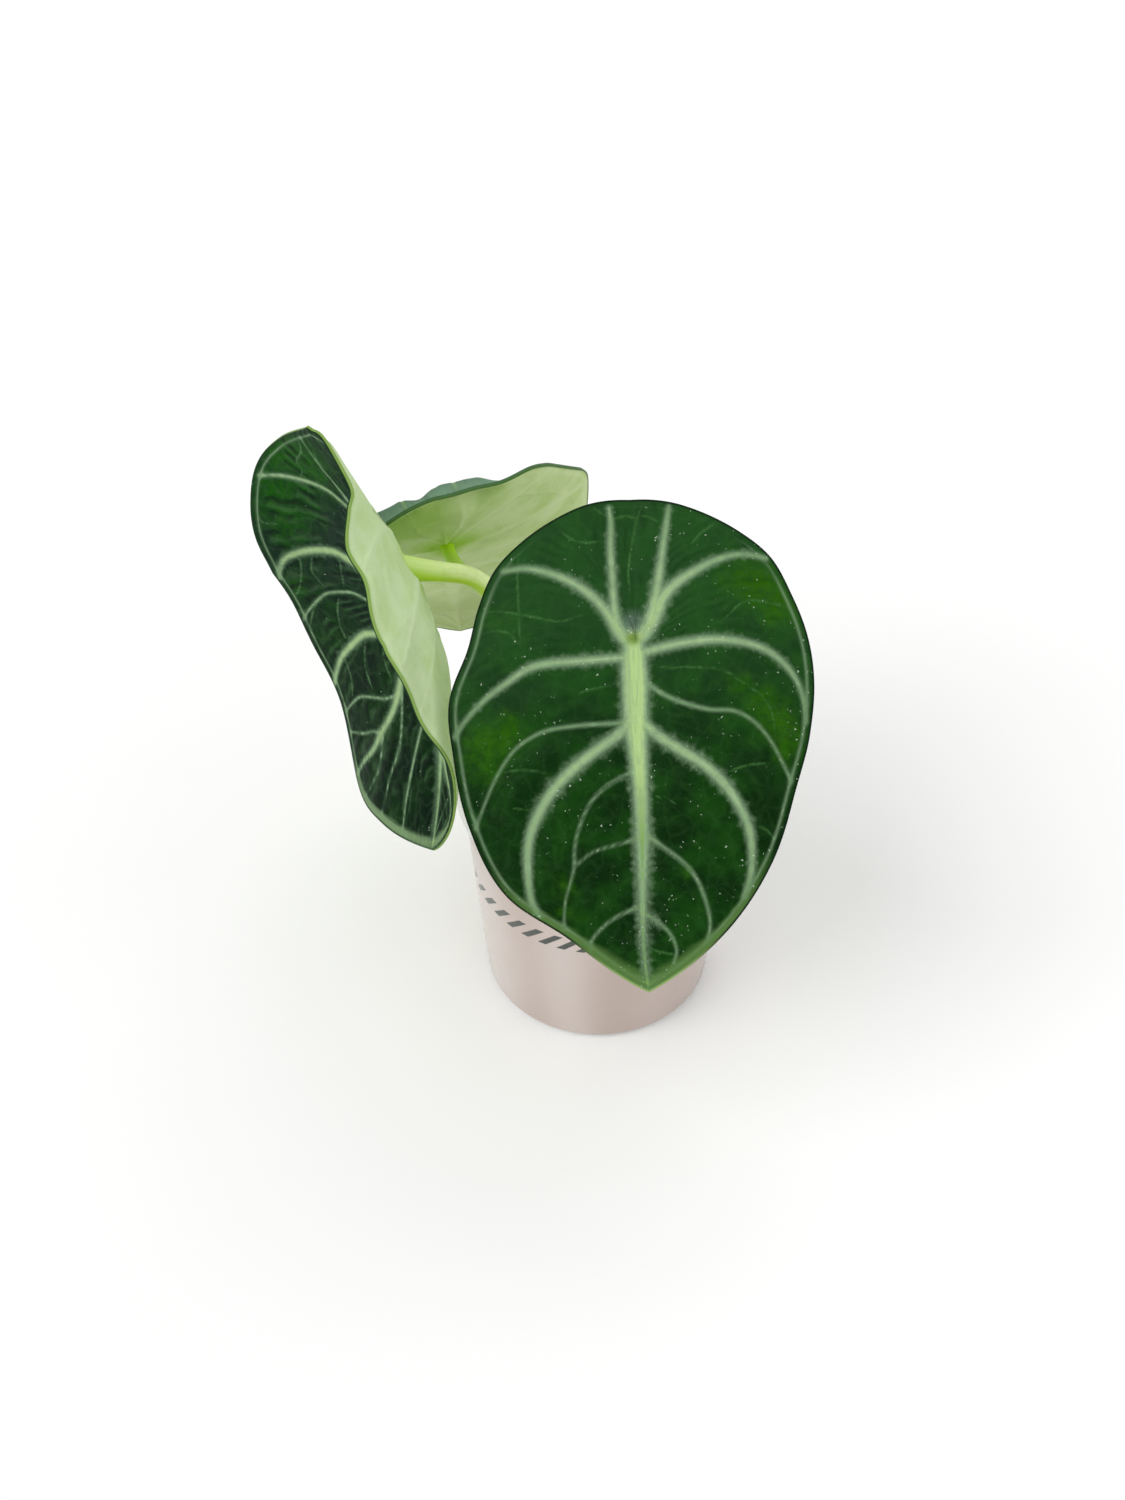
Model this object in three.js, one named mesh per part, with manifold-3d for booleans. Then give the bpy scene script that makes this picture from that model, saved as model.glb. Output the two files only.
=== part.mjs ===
// Potted ninja alocasia: a young aroid with three shield-shaped leaves, in a small round nursery pot.
// Millimetres, +Z up. The origin is the centre of the pot's base, on the surface that the pot stands on.
// +Y points to the back of the plant, away from the side that the front leaf faces, and +X to its right.

import * as THREE from "three";
import { mergeVertices } from "three/addons/utils/BufferGeometryUtils.js";
import Module from "manifold-3d";

const wasm = await Module();
wasm.setup();

// Clearance between pieces that touch in the real plant
const gap = 0.3;

// Pot
const potHeight = 50;
const potBaseRadius = 19;
const potWallTopRadius = 22.6;
const potRimRadius = 24.6;
const potRimHeight = 7;
const potWall = 1.4;
const potLip = 2.4;
const potFloor = 1.8;
const potEdge = 0.8;
const potSegments = 44;
const drainHoles = 6;
const drainHoleRadius = 2;
const drainCircleRadius = 11.5;

// Printed sleeve round the pot's wall
const sleeveBottom = 1.2;
const sleeveTop = 40.5;
const sleeveThickness = 0.5;

// Soil and crown
const soilLevel = 43.5;
const soilLump = 0.5;
const soilEdgeDrop = 1.4;
const chunkCount = 16;
const chunkSize = 1.3;
const chunkSpread = 0.9;
const chunkStretch = [1.25, 0.9, 0.75];
const crownRadius = 7.2;
const crownTaper = 2.6;
const crownSegments = 28;
const crownBottom = 33;
const crownTop = 47.5;

// Leaf stalks
const stalkSides = 10;
const stalkSteps = 22;
const stalkBaseRadius = 2.5;
const stalkTopRadius = 1.75;
const stalkFlare = 0.5;
const stalkRing = 3.7;
const stalkSink = 4;

// Leaf blades. A blade is laid out flat from the joint with its stalk: one axis points to the tip, the other
// to the margin. Its outline is a radius for each 15 degrees, from the tip (0) to the notch end (180).
// Veins run in rows from the midrib to the margin, and the surface follows them.
const outlineStep = 15;
const bladeThickness = 0.9;
const marginThickness = 0.65;
const midribDepth = 1.3;
const midribShare = 0.07;
const ribDepth = 0.5;
const creaseRadius = 1.2;
const bladeReach = 53;
const notchReach = 26;
const halfWidth = 28;
const rollPlace = 0.82;
const rollWidth = 0.13;
const rollStart = 8;
const rollDip = { beside: 6, width: 5, share: 0.45 };
const rowSteps = 3;
const columns = [0, 0.06, 0.17, 0.31, 0.46, 0.61, 0.75, 0.87, 0.95, 1];

// Each row: where it leaves the midrib, as a share of the way from the stalk to the tip, the angle at which
// it meets the outline, how far it arches towards the stalk (mm), and the vein's half width in mm, which is
// 0 for a row between veins.
const leftRows = [
  [0.924, 0, 0, 0],
  [0.861, 4, 0, 0],
  [0.758, 9, 1.4, 0.45],
  [0.444, 15, 3.7, 0.3],
  [0.242, 19, 8.4, 0.9],
  [0.203, 32, 8, 0],
  [0.166, 46, 5.1, 0.3],
  [0.041, 69, 3.4, 0.75],
  [0.026, 81, 4.2, 0],
  [0.011, 97, 4.7, 0],
  [-0.004, 114, 4.9, 0.75],
  [-0.018, 131, 4, 0],
  [-0.033, 150, 1, 0],
  [-0.048, 171, -1.5, 0.7],
  [-0.067, 180, 0, 0],
];
const rightRows = [
  [0.924, 0, 0, 0],
  [0.861, 4, 0.6, 0],
  [0.758, 9, 2, 0.45],
  [0.518, 14, 4.3, 0.45],
  [0.242, 24, 6.2, 0.9],
  [0.185, 35, 6, 0],
  [0.129, 50, 4.1, 0.35],
  [0.037, 73, 4.6, 0.75],
  [0.022, 92, 4.4, 0],
  [0.007, 108, 4.1, 0],
  [-0.007, 122, 5.5, 0.75],
  [-0.022, 139, 4.6, 0],
  [-0.035, 154, 2.1, 0],
  [-0.048, 166.5, -1.9, 0.7],
  [-0.067, 180, 0, 0],
];
// The left leaf's outer half has one more pair of strong side veins
const outerRows = [
  [0.924, 0, 0, 0],
  [0.816, 2, 0.8, 0],
  [0.531, 5, 2.4, 0.3],
  [0.408, 10, 4.2, 0.35],
  [0.265, 31, 3, 0.8],
  [0.235, 41, 3.4, 0],
  [0.194, 51, 3.8, 0.75],
  [0.133, 63, 2.4, 0],
  [0.078, 75, 2, 0.35],
  [0.029, 96, 2.6, 0.8],
  [-0.004, 115, 3.2, 0],
  [-0.02, 134, 3, 0.75],
  [-0.037, 151, 1, 0],
  [-0.053, 169, -1.2, 0.5],
  [-0.067, 180, 0, 0],
];

// Each leaf: the place of the blade's joint with its stalk, the direction to its tip, the way its upper face
// looks, how it bows along its length, and for each half its outline, its fold at the midrib and its curl to
// the margin, in radians, with the change of both towards the tip and towards the notch end.
const frontLeaf = {
  name: "front",
  hub: [5, -13.1, 89.1],
  tipward: [0.04, -0.76, -0.65],
  facing: [0, -0.65, 0.76],
  bowTip: -0.25,
  bowNotch: 0,
  quilt: 0.55,
  rollHeight: 0,
  ruffle: 0.25,
  halves: [
    {
      side: -1,
      radii: [54.1, 46.6, 43.6, 38.2, 33.3, 30.3, 26.2, 25, 24.6, 23.7, 23.1, 22.9, 22.5],
      rows: leftRows,
      fold: 0.1,
      foldTip: 0,
      foldNotch: 0,
      curl: -0.3,
      curlTip: 0,
      rollFrom: 180,
    },
    {
      side: 1,
      radii: [54.1, 46.6, 39.6, 33.4, 30.3, 28.3, 26.6, 25.4, 24.9, 23.7, 23, 22.7, 22.5],
      rows: rightRows,
      fold: 0.1,
      foldTip: 0,
      foldNotch: 0,
      curl: -0.25,
      curlTip: 0,
      rollFrom: 180,
    },
  ],
  stalkBase: -60,
  stalkRoute: [[3.6, -5, 60], [5.2, -6.6, 72], [5.6, -8.4, 81.5]],
};
const leftLeaf = {
  name: "left",
  hub: [-32.2, 4.8, 88.8],
  tipward: [0.36, -0.21, -0.91],
  facing: [-0.55, -0.83, -0.03],
  bowTip: 0.95,
  bowNotch: 0.47,
  quilt: 0.55,
  rollHeight: 0,
  ruffle: 0.3,
  halves: [
    {
      side: -1,
      radii: [47.9, 46.4, 44.6, 35.4, 31, 28, 27.5, 28.2, 28.5, 28.7, 27.7, 27.4, 28],
      rows: outerRows,
      fold: -0.09,
      foldTip: 0.2,
      foldNotch: -0.67,
      curl: 0.43,
      curlTip: -1.28,
      rollFrom: 180,
    },
    {
      side: 1,
      radii: [47.9, 42.4, 36.4, 32.8, 28.7, 26.5, 25.2, 23.6, 21.8, 23.3, 22.5, 20.6, 28],
      rows: rightRows,
      fold: 0.53,
      foldTip: -0.12,
      foldNotch: 0.69,
      curl: 1.17,
      curlTip: -0.02,
      rollFrom: 180,
    },
  ],
  stalkBase: 165,
  stalkRoute: [
    [-6, 2.4, 58], [-11.6, 6, 69], [-18.4, 9.8, 80], [-21.4, 9.3, 83.2], [-25.4, 7.4, 85.8],
    [-28.8, 6, 87.4],
  ],
};
const backLeaf = {
  name: "back",
  hub: [-26.1, 28.2, 74.7],
  tipward: [0, 0.57, -0.82],
  facing: [-0.18, 0.81, 0.57],
  bowTip: -0.18,
  bowNotch: 0.4,
  quilt: 0.5,
  rollHeight: 3.2,
  ruffle: 0.25,
  halves: [
    {
      side: -1,
      radii: [51.2, 45.7, 41.4, 35.7, 32.2, 29.3, 25.7, 23.6, 22.9, 22.7, 21, 21.2, 21.8],
      rows: leftRows,
      fold: 0.03,
      foldTip: -0.29,
      foldNotch: 0.32,
      curl: 0.79,
      curlTip: 0.04,
      rollFrom: 145,
    },
    {
      side: 1,
      radii: [51.2, 45.5, 39.4, 33.1, 29.3, 26.9, 24.5, 23.2, 22.7, 22.3, 22.3, 22.2, 21.8],
      rows: rightRows,
      fold: -0.16,
      foldTip: 0.31,
      foldNotch: -0.45,
      curl: 0.5,
      curlTip: 0,
      rollFrom: 100,
    },
  ],
  stalkBase: 75,
  stalkRoute: [
    [-3, 8.4, 57.5], [-11, 14.8, 65.6], [-18.4, 19.6, 70.7], [-21.4, 21.4, 71.9], [-24.8, 24.2, 73.2],
  ],
};

// Catmull-Rom curve through a list of values at 0, 1, 2 ..., with the ends carried on straight
function through(values, t) {
  const last = values.length - 1;
  const i = Math.min(Math.max(Math.floor(t), 0), last - 1);
  const f = t - i;
  const at = (k) => {
    if (k < 0) return 2 * values[0] - values[1];
    if (k > last) return 2 * values[last] - values[last - 1];
    return values[k];
  };
  const [a, b, c, d] = [at(i - 1), at(i), at(i + 1), at(i + 2)];
  const cubic = (3 * b - a - 3 * c + d) * f ** 3;
  return 0.5 * (2 * b + (c - a) * f + (2 * a - 5 * b + 4 * c - d) * f * f + cubic);
}

// The outline's point at an angle from the tip, as [towards the margin, towards the tip]
function outlinePoint(radii, degrees) {
  const r = through(radii, degrees / outlineStep);
  const angle = THREE.MathUtils.degToRad(degrees);
  return [r * Math.sin(angle), r * Math.cos(angle)];
}

// A flat point of a half blade: t counts rows from the tip, q runs from 0 at the midrib to 1 at the margin.
// The row is a parabola whose middle is moved from its chord by its arch. Its start slides to the mean of
// both halves' starts close to the midrib, so that the halves share their middle line.
function flatPoint(half, starts, t, q) {
  const start = half.radii[0] * through(half.rows.map((row) => row[0]), t);
  const degrees = THREE.MathUtils.clamp(through(half.rows.map((row) => row[1]), t), 0, 180);
  const arch = through(half.rows.map((row) => row[2]), t);
  const [endX, endY] = outlinePoint(half.radii, degrees);
  const chord = Math.hypot(endX, endY - start);
  const bulge = (4 * q * (1 - q) * arch) / chord;
  const shared = (half.radii[0] * through(starts, t) - start) * (1 - q) ** 6;
  const x = q * endX + bulge * (endY - start);
  const y = start + q * (endY - start) - bulge * endX + shared;
  return [Math.max(x, 0), y, degrees];
}

// How far t lies from the nearest vein rows: 0 on a vein, 1 half way between two veins
function betweenVeins(rows, t) {
  const veins = rows.map((row, k) => (row[3] > 0 || k === 0 || k === rows.length - 1 ? k : -1));
  const marks = veins.filter((k) => k >= 0);
  const upper = marks.find((k) => k >= t - 1e-6);
  const lower = marks.filter((k) => k <= t + 1e-6).pop();
  if (upper === lower) return 0;
  return Math.sin((Math.PI * (t - lower)) / (upper - lower));
}

// The bent blade: the midrib bows as an arc, each half folds up from it and curls as a second arc.
// Returns the point and the upward normal in the leaf's own axes: x to the margin, y to the notch end, z up.
function bentPoint(leaf, half, x, y) {
  const bow = (y > 0 ? leaf.bowTip : leaf.bowNotch) / bladeReach || 1e-6;
  const turn = bow * y;
  const share = y / bladeReach;
  const fold = half.fold + (y > 0 ? half.foldTip * share : -half.foldNotch * share);
  const curl = (half.curl + half.curlTip * share) / halfWidth || 1e-6;
  const root = Math.hypot(x, creaseRadius);
  const along = root - creaseRadius;
  const weight = x / root;
  const angle = fold + curl * along;
  const across = (Math.sin(angle) - Math.sin(fold)) / curl + x - along;
  const rise = (Math.cos(fold) - Math.cos(angle)) / curl;
  const slope = Math.atan2(Math.sin(angle) * weight, Math.cos(angle) * weight + 1 - weight);
  const point = new THREE.Vector3(
    half.side * across,
    -(Math.sin(turn) / bow - Math.sin(turn) * rise),
    (1 - Math.cos(turn)) / bow + Math.cos(turn) * rise,
  );
  const normal = new THREE.Vector3(
    -half.side * Math.sin(slope),
    Math.sin(turn) * Math.cos(slope),
    Math.cos(turn) * Math.cos(slope),
  );
  return { point, normal };
}

// Height of the upper face over the bent sheet: quilting between the veins, a ruffle along the margin and,
// on the back leaf, a margin that rolls over towards the underside
function upperHeight(leaf, half, t, q, degrees) {
  const between = betweenVeins(half.rows, t);
  const quilting = leaf.quilt * between * Math.min(1, 5 * q) * Math.sqrt(1 - q);
  const waves = half.side > 0 ? 9 : 7;
  const ruffle = leaf.ruffle * q ** 4 * Math.sin(THREE.MathUtils.degToRad(degrees) * waves);
  const fromDip = 180 - degrees - half.side * rollDip.beside;
  const dip = 1 - rollDip.share * Math.exp(-((fromDip / rollDip.width) ** 2));
  const { rollFrom } = half;
  const rolled = dip * THREE.MathUtils.smoothstep(degrees, rollFrom - rollStart, rollFrom + rollStart);
  const crest = Math.exp(-(((q - rollPlace) / rollWidth) ** 2));
  const fade = THREE.MathUtils.smoothstep(1 - q, 0, rollWidth);
  return quilting + ruffle * Math.min(1, (180 - degrees) / 20) + leaf.rollHeight * rolled * crest * fade;
}

// Depth of the blade under its upper face: thin at the margin, with raised ribs under the midrib and the
// side veins
function bladeDepth(half, t, q, y) {
  const sheet = THREE.MathUtils.lerp(bladeThickness, marginThickness, q);
  const inward = THREE.MathUtils.clamp(1 - Math.abs(y) / (y > 0 ? bladeReach : notchReach), 0, 1);
  const midrib = midribDepth * inward * Math.exp(-((q / midribShare) ** 2));
  const row = half.rows[Math.round(t)];
  const onVein = Math.abs(t - Math.round(t)) < 0.01 ? row[3] : 0;
  return sheet + midrib + ribDepth * onVein * (1 - q) * Math.min(1, q / midribShare);
}

// A blade as one closed solid. over and under make it thicker on both faces, for cutting its stalk clear.
function bladeGeometry(leaf, over = 0, under = 0) {
  const starts = leaf.halves[0].rows.map((row, k) => (row[0] + leaf.halves[1].rows[k][0]) / 2);
  const rowCount = (starts.length - 1) * rowSteps + 1;
  const columnCount = columns.length;
  const positions = [];
  const index = [];
  leaf.halves.forEach((half) => {
    const first = positions.length / 3;
    for (let i = 0; i < rowCount; i++) {
      const t = i / rowSteps;
      columns.forEach((q) => {
        const [x, y, degrees] = flatPoint(half, starts, t, q);
        const { point, normal } = bentPoint(leaf, half, x, y);
        const top = upperHeight(leaf, half, t, q, degrees);
        const bottom = top - bladeDepth(half, t, q, y);
        const upper = point.clone().addScaledVector(normal, top + over);
        const lower = point.clone().addScaledVector(normal, bottom - under);
        positions.push(upper.x, upper.y, upper.z, lower.x, lower.y, lower.z);
      });
    }
    const at = (i, j, face) => first + 2 * (i * columnCount + j) + face;
    const add = (a, b, c) => (half.side > 0 ? index.push(a, b, c) : index.push(a, c, b));
    for (let i = 0; i < rowCount - 1; i++) {
      for (let j = 0; j < columnCount - 1; j++) {
        add(at(i, j, 0), at(i, j + 1, 0), at(i + 1, j + 1, 0));
        add(at(i, j, 0), at(i + 1, j + 1, 0), at(i + 1, j, 0));
        add(at(i, j, 1), at(i + 1, j + 1, 1), at(i, j + 1, 1));
        add(at(i, j, 1), at(i + 1, j, 1), at(i + 1, j + 1, 1));
      }
      const edge = columnCount - 1;
      add(at(i, edge, 0), at(i, edge, 1), at(i + 1, edge, 1));
      add(at(i, edge, 0), at(i + 1, edge, 1), at(i + 1, edge, 0));
    }
  });
  const geometry = new THREE.BufferGeometry();
  geometry.setAttribute("position", new THREE.Float32BufferAttribute(positions, 3));
  geometry.setIndex(index);
  return dropFlatFaces(mergeVertices(geometry, 1e-3));
}

// Leaves out the faces whose corners were merged
function dropFlatFaces(geometry) {
  const kept = [];
  const old = geometry.index.array;
  for (let i = 0; i < old.length; i += 3) {
    const [a, b, c] = [old[i], old[i + 1], old[i + 2]];
    if (a !== b && b !== c && a !== c) kept.push(a, b, c);
  }
  geometry.setIndex(kept);
  return geometry;
}

// A tube along a curve, its radius given for each place along it, with flat ends
function taperedTube(points, radiusAt, sides, steps) {
  const curve = new THREE.CatmullRomCurve3(points.map((p) => new THREE.Vector3(...p)), false, "centripetal");
  const frames = curve.computeFrenetFrames(steps, false);
  const positions = [];
  const index = [];
  for (let i = 0; i <= steps; i++) {
    const centre = curve.getPointAt(i / steps);
    for (let j = 0; j < sides; j++) {
      const angle = (2 * Math.PI * j) / sides;
      const spoke = centre.clone();
      spoke.addScaledVector(frames.normals[i], radiusAt(i / steps) * Math.cos(angle));
      spoke.addScaledVector(frames.binormals[i], radiusAt(i / steps) * Math.sin(angle));
      positions.push(...spoke.toArray());
    }
  }
  for (let i = 0; i < steps; i++) {
    for (let j = 0; j < sides; j++) {
      const [a, b] = [i * sides + j, i * sides + ((j + 1) % sides)];
      index.push(a, b, b + sides, a, b + sides, a + sides);
    }
  }
  const last = steps * sides;
  for (let j = 1; j < sides - 1; j++) {
    index.push(0, j + 1, j);
    index.push(last, last + j, last + j + 1);
  }
  const geometry = new THREE.BufferGeometry();
  geometry.setAttribute("position", new THREE.Float32BufferAttribute(positions, 3));
  geometry.setIndex(index);
  return geometry;
}

// A three.js geometry as a solid for joining and cutting, and back
function toSolid(geometry) {
  const bare = geometry.clone();
  bare.deleteAttribute("normal");
  bare.deleteAttribute("uv");
  const merged = dropFlatFaces(mergeVertices(bare, 1e-4));
  const mesh = new wasm.Mesh({
    numProp: 3,
    vertProperties: new Float32Array(merged.attributes.position.array),
    triVerts: new Uint32Array(merged.index.array),
  });
  return new wasm.Manifold(mesh);
}

function toGeometry(solid) {
  const mesh = solid.getMesh();
  const geometry = new THREE.BufferGeometry();
  const positions = new Float32Array(mesh.numVert * 3);
  for (let i = 0; i < mesh.numVert; i++) {
    const from = i * mesh.numProp;
    positions.set(mesh.vertProperties.subarray(from, from + 3), i * 3);
  }
  geometry.setAttribute("position", new THREE.BufferAttribute(positions, 3));
  geometry.setIndex(new THREE.BufferAttribute(new Uint32Array(mesh.triVerts), 1));
  return geometry;
}

// The largest body of a solid, without the scraps that a cut can leave
function largestBody(solid) {
  const bodies = solid.decompose();
  return bodies.sort((a, b) => b.volume() - a.volume())[0];
}

// A body turned round the vertical axis from its profile of [radius, height] points
function turned(profile, segments) {
  const geometry = new THREE.LatheGeometry(profile.map(([r, z]) => new THREE.Vector2(r, z)), segments);
  geometry.rotateX(Math.PI / 2);
  return geometry;
}

function wallRadius(z) {
  return THREE.MathUtils.mapLinear(z, 0, potHeight - potRimHeight, potBaseRadius, potWallTopRadius);
}

// The pot: a tapered cup with a plain band at its rim and drainage holes round the middle of its floor
function makePot() {
  const rimFoot = potHeight - potRimHeight;
  const inner = (z) => wallRadius(z) - potWall;
  const cup = turned([
    [0, 0],
    [potBaseRadius - potEdge, 0],
    [wallRadius(potEdge), potEdge],
    [potWallTopRadius, rimFoot],
    [potRimRadius - potEdge, rimFoot],
    [potRimRadius, rimFoot + potEdge],
    [potRimRadius, potHeight - potEdge],
    [potRimRadius - potEdge, potHeight],
    [potRimRadius - potLip + potEdge, potHeight],
    [potRimRadius - potLip, potHeight - potEdge],
    [inner(rimFoot), rimFoot - potEdge],
    [inner(potFloor + potEdge), potFloor + potEdge],
    [inner(potFloor) - potEdge, potFloor],
    [0, potFloor],
  ], potSegments);
  let solid = toSolid(cup);
  for (let k = 0; k < drainHoles; k++) {
    const angle = (2 * Math.PI * (k + 0.5)) / drainHoles;
    const hole = new THREE.CylinderGeometry(drainHoleRadius, drainHoleRadius, 3 * potFloor, 12);
    hole.rotateX(Math.PI / 2);
    hole.translate(drainCircleRadius * Math.cos(angle), drainCircleRadius * Math.sin(angle), potFloor / 2);
    solid = solid.subtract(toSolid(hole));
  }
  return toGeometry(solid);
}

// The printed sleeve: a thin tapered band that lies round the wall
function makeSleeve() {
  const inner = (z) => wallRadius(z) + gap;
  return turned([
    [inner(sleeveBottom), sleeveBottom],
    [inner(sleeveBottom) + sleeveThickness, sleeveBottom],
    [inner(sleeveTop) + sleeveThickness, sleeveTop],
    [inner(sleeveTop), sleeveTop],
    [inner(sleeveBottom), sleeveBottom],
  ], potSegments);
}

// The crown: the short swollen stem that the leaf stalks rise from. extra makes it larger, for its hole in
// the soil.
function crownShape(extra) {
  return turned([
    [0, crownBottom - extra],
    [crownRadius - crownTaper + extra, crownBottom - extra],
    [crownRadius + extra, crownBottom + 2 * crownTaper],
    [crownRadius + extra, crownTop - 1.5 * crownTaper],
    [crownRadius - 0.35 * crownTaper + extra, crownTop - 0.5 * crownTaper],
    [crownRadius - crownTaper + extra, crownTop],
    [0, crownTop + 0.3 * crownTaper + extra],
  ], crownSegments);
}

// The route of a leaf's stalk: up from its socket in the crown, and on past the underside of its blade
function stalkPoints(leaf) {
  const angle = THREE.MathUtils.degToRad(leaf.stalkBase);
  const [x, y] = [stalkRing * Math.cos(angle), stalkRing * Math.sin(angle)];
  const hub = new THREE.Vector3(...leaf.hub);
  return [[x, y, crownTop - stalkSink], [x, y, crownTop + 1], ...leaf.stalkRoute, hub.toArray()];
}

function stalkTube(leaf, extra) {
  const radiusAt = (s) => {
    const sheath = (stalkBaseRadius - stalkTopRadius) * Math.exp(-s * 4);
    const flare = stalkFlare * THREE.MathUtils.smoothstep(s, 0.9, 1);
    return stalkTopRadius + sheath + flare + extra;
  };
  return taperedTube(stalkPoints(leaf), radiusAt, stalkSides, stalkSteps);
}

function leafMatrix(leaf) {
  const facing = new THREE.Vector3(...leaf.facing).normalize();
  const notchward = new THREE.Vector3(...leaf.tipward).negate();
  notchward.addScaledVector(facing, -notchward.dot(facing)).normalize();
  const across = new THREE.Vector3().crossVectors(notchward, facing);
  return new THREE.Matrix4().makeBasis(across, notchward, facing).setPosition(...leaf.hub);
}

// A stalk, cut off just under its blade. Its own blade, thickened by the gap, is the cutting tool.
function makeStalk(leaf) {
  const cutter = bladeGeometry(leaf, 2, gap).applyMatrix4(leafMatrix(leaf));
  return toGeometry(largestBody(toSolid(stalkTube(leaf, 0)).subtract(toSolid(cutter))));
}

// The crown with a blind socket for each stalk
function makeCrown(leaves) {
  let solid = toSolid(crownShape(0));
  leaves.forEach((leaf) => {
    const [x, y] = stalkPoints(leaf)[0];
    const depth = stalkSink + gap;
    const radius = stalkBaseRadius + gap;
    const socket = new THREE.CylinderGeometry(radius, radius, 2 * depth, 16);
    socket.rotateX(Math.PI / 2);
    socket.translate(x, y, crownTop - stalkSink - gap + depth);
    solid = solid.subtract(toSolid(socket));
  });
  return toGeometry(largestBody(solid));
}

// The soil: it fills the pot to a lumpy top, strewn with bark and perlite chunks, and holds the crown in a
// plain hole
function makeSoil() {
  const inner = (z) => wallRadius(z) - potWall - gap;
  const floor = potFloor + gap;
  const rings = 6;
  const edge = soilLevel - soilEdgeDrop;
  const corner = potEdge + gap;
  const profile = [[0, floor], [inner(floor) - corner, floor], [inner(floor + corner), floor + corner]];
  for (let k = 0; k <= rings; k++) {
    profile.push([inner(edge) * (1 - k / rings), k === 0 ? edge : soilLevel]);
  }
  const fill = turned(profile, potSegments);
  const place = fill.attributes.position;
  for (let i = 0; i < place.count; i++) {
    const [x, y, z] = [place.getX(i), place.getY(i), place.getZ(i)];
    const lump = soilLump * (Math.sin(0.62 * x + 1.3 * Math.sin(0.4 * y)) + Math.cos(0.71 * y - 0.5 * x));
    if (z > soilLevel - 1) place.setZ(i, z + lump);
  }
  let solid = toSolid(fill);
  const golden = Math.PI * (3 - Math.sqrt(5));
  for (let k = 0; k < chunkCount; k++) {
    const size = chunkSize + chunkSpread * Math.abs(Math.sin(5 * k));
    const room = inner(edge) - crownRadius - 2.5 * (chunkSize + chunkSpread);
    const reach = crownRadius + chunkSize + chunkSpread + room * Math.sqrt((k + 0.5) / chunkCount);
    const chunk = new THREE.IcosahedronGeometry(size, 0);
    chunk.scale(...chunkStretch);
    chunk.rotateX(k);
    chunk.rotateZ(2 * k);
    chunk.translate(reach * Math.cos(golden * k), reach * Math.sin(golden * k), soilLevel + 0.2);
    solid = solid.add(toSolid(chunk));
  }
  return toGeometry(largestBody(solid.subtract(toSolid(crownShape(gap)))));
}

function surface(color, roughness) {
  return new THREE.MeshStandardMaterial({ color, roughness, metalness: 0, side: THREE.DoubleSide });
}

function named(name, geometry, material) {
  const mesh = new THREE.Mesh(geometry, material);
  mesh.name = name;
  return mesh;
}

const leaves = [frontLeaf, leftLeaf, backLeaf];
const group = new THREE.Group();
group.add(named("pot", makePot(), surface("#ecebe8", 0.3)));
group.add(named("pot_sleeve", makeSleeve(), surface("#dcd6d3", 0.2)));
group.add(named("soil", makeSoil(), surface("#3c2c20", 0.95)));
group.add(named("crown", makeCrown(leaves), surface("#7d8a52", 0.6)));

leaves.forEach((leaf) => {
  group.add(named("petiole_" + leaf.name, makeStalk(leaf), surface("#a9c653", 0.45)));
  const holder = new THREE.Group();
  holder.applyMatrix4(leafMatrix(leaf));
  holder.add(named("blade_" + leaf.name, bladeGeometry(leaf), surface("#24482a", 0.4)));
  group.add(holder);
});

export default group;
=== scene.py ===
import math

import bpy
import numpy as np
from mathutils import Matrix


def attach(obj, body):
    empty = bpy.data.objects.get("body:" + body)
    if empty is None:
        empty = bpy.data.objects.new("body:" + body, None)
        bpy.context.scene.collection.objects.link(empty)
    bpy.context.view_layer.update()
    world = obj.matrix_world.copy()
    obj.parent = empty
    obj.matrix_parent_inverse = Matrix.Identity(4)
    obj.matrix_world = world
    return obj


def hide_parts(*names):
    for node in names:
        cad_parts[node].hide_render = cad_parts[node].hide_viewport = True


# Potted ninja alocasia. Lengths in this script are millimetres, and every mesh is turned into metres once.
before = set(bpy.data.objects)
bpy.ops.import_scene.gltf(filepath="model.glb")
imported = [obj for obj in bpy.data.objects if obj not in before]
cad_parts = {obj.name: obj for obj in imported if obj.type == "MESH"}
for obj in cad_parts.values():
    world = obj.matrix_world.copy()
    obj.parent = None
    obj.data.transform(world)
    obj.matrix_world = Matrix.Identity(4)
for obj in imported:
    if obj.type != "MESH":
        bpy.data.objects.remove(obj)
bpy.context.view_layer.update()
mm = 0.001
fullTurn = 2 * math.pi
print("frame loaded:", sorted(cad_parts))


# Small helpers for arrays

def unit(vector):  # each vector divided by its length
    vector = np.asarray(vector, float)
    return vector / np.linalg.norm(vector, axis=-1, keepdims=True)


def rise(value, low, high):  # 0 at low, 1 at high, level at both ends: 3s^2 - 2s^3
    share = np.clip((value - low) / (high - low), 0, 1)
    return share * share * (3 - 2 * share)


def bell(value, middle, width):  # 1 in the middle, falling off as a Gaussian
    return np.exp(-((value - middle) / width) ** 2)


def around(count):  # even steps of one full turn, without its end
    return np.linspace(0, fullTurn, count, endpoint=False)


# Catmull-Rom curve through values at 0, 1, 2 ..., with the ends carried on straight
def through(values, t):
    values = np.asarray(values, float)
    last = len(values) - 1
    padded = np.concatenate([[2 * values[0] - values[1]], values, [2 * values[-1] - values[-2]]])
    i = np.clip(np.floor(t).astype(int), 0, last - 1)
    f = t - i
    a, b, c, d = padded[i], padded[i + 1], padded[i + 2], padded[i + 3]
    cubic = (3 * b - a - 3 * c + d) * f ** 3
    return 0.5 * (2 * b + (c - a) * f + (2 * a - 5 * b + 4 * c - d) * f * f + cubic)


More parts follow.
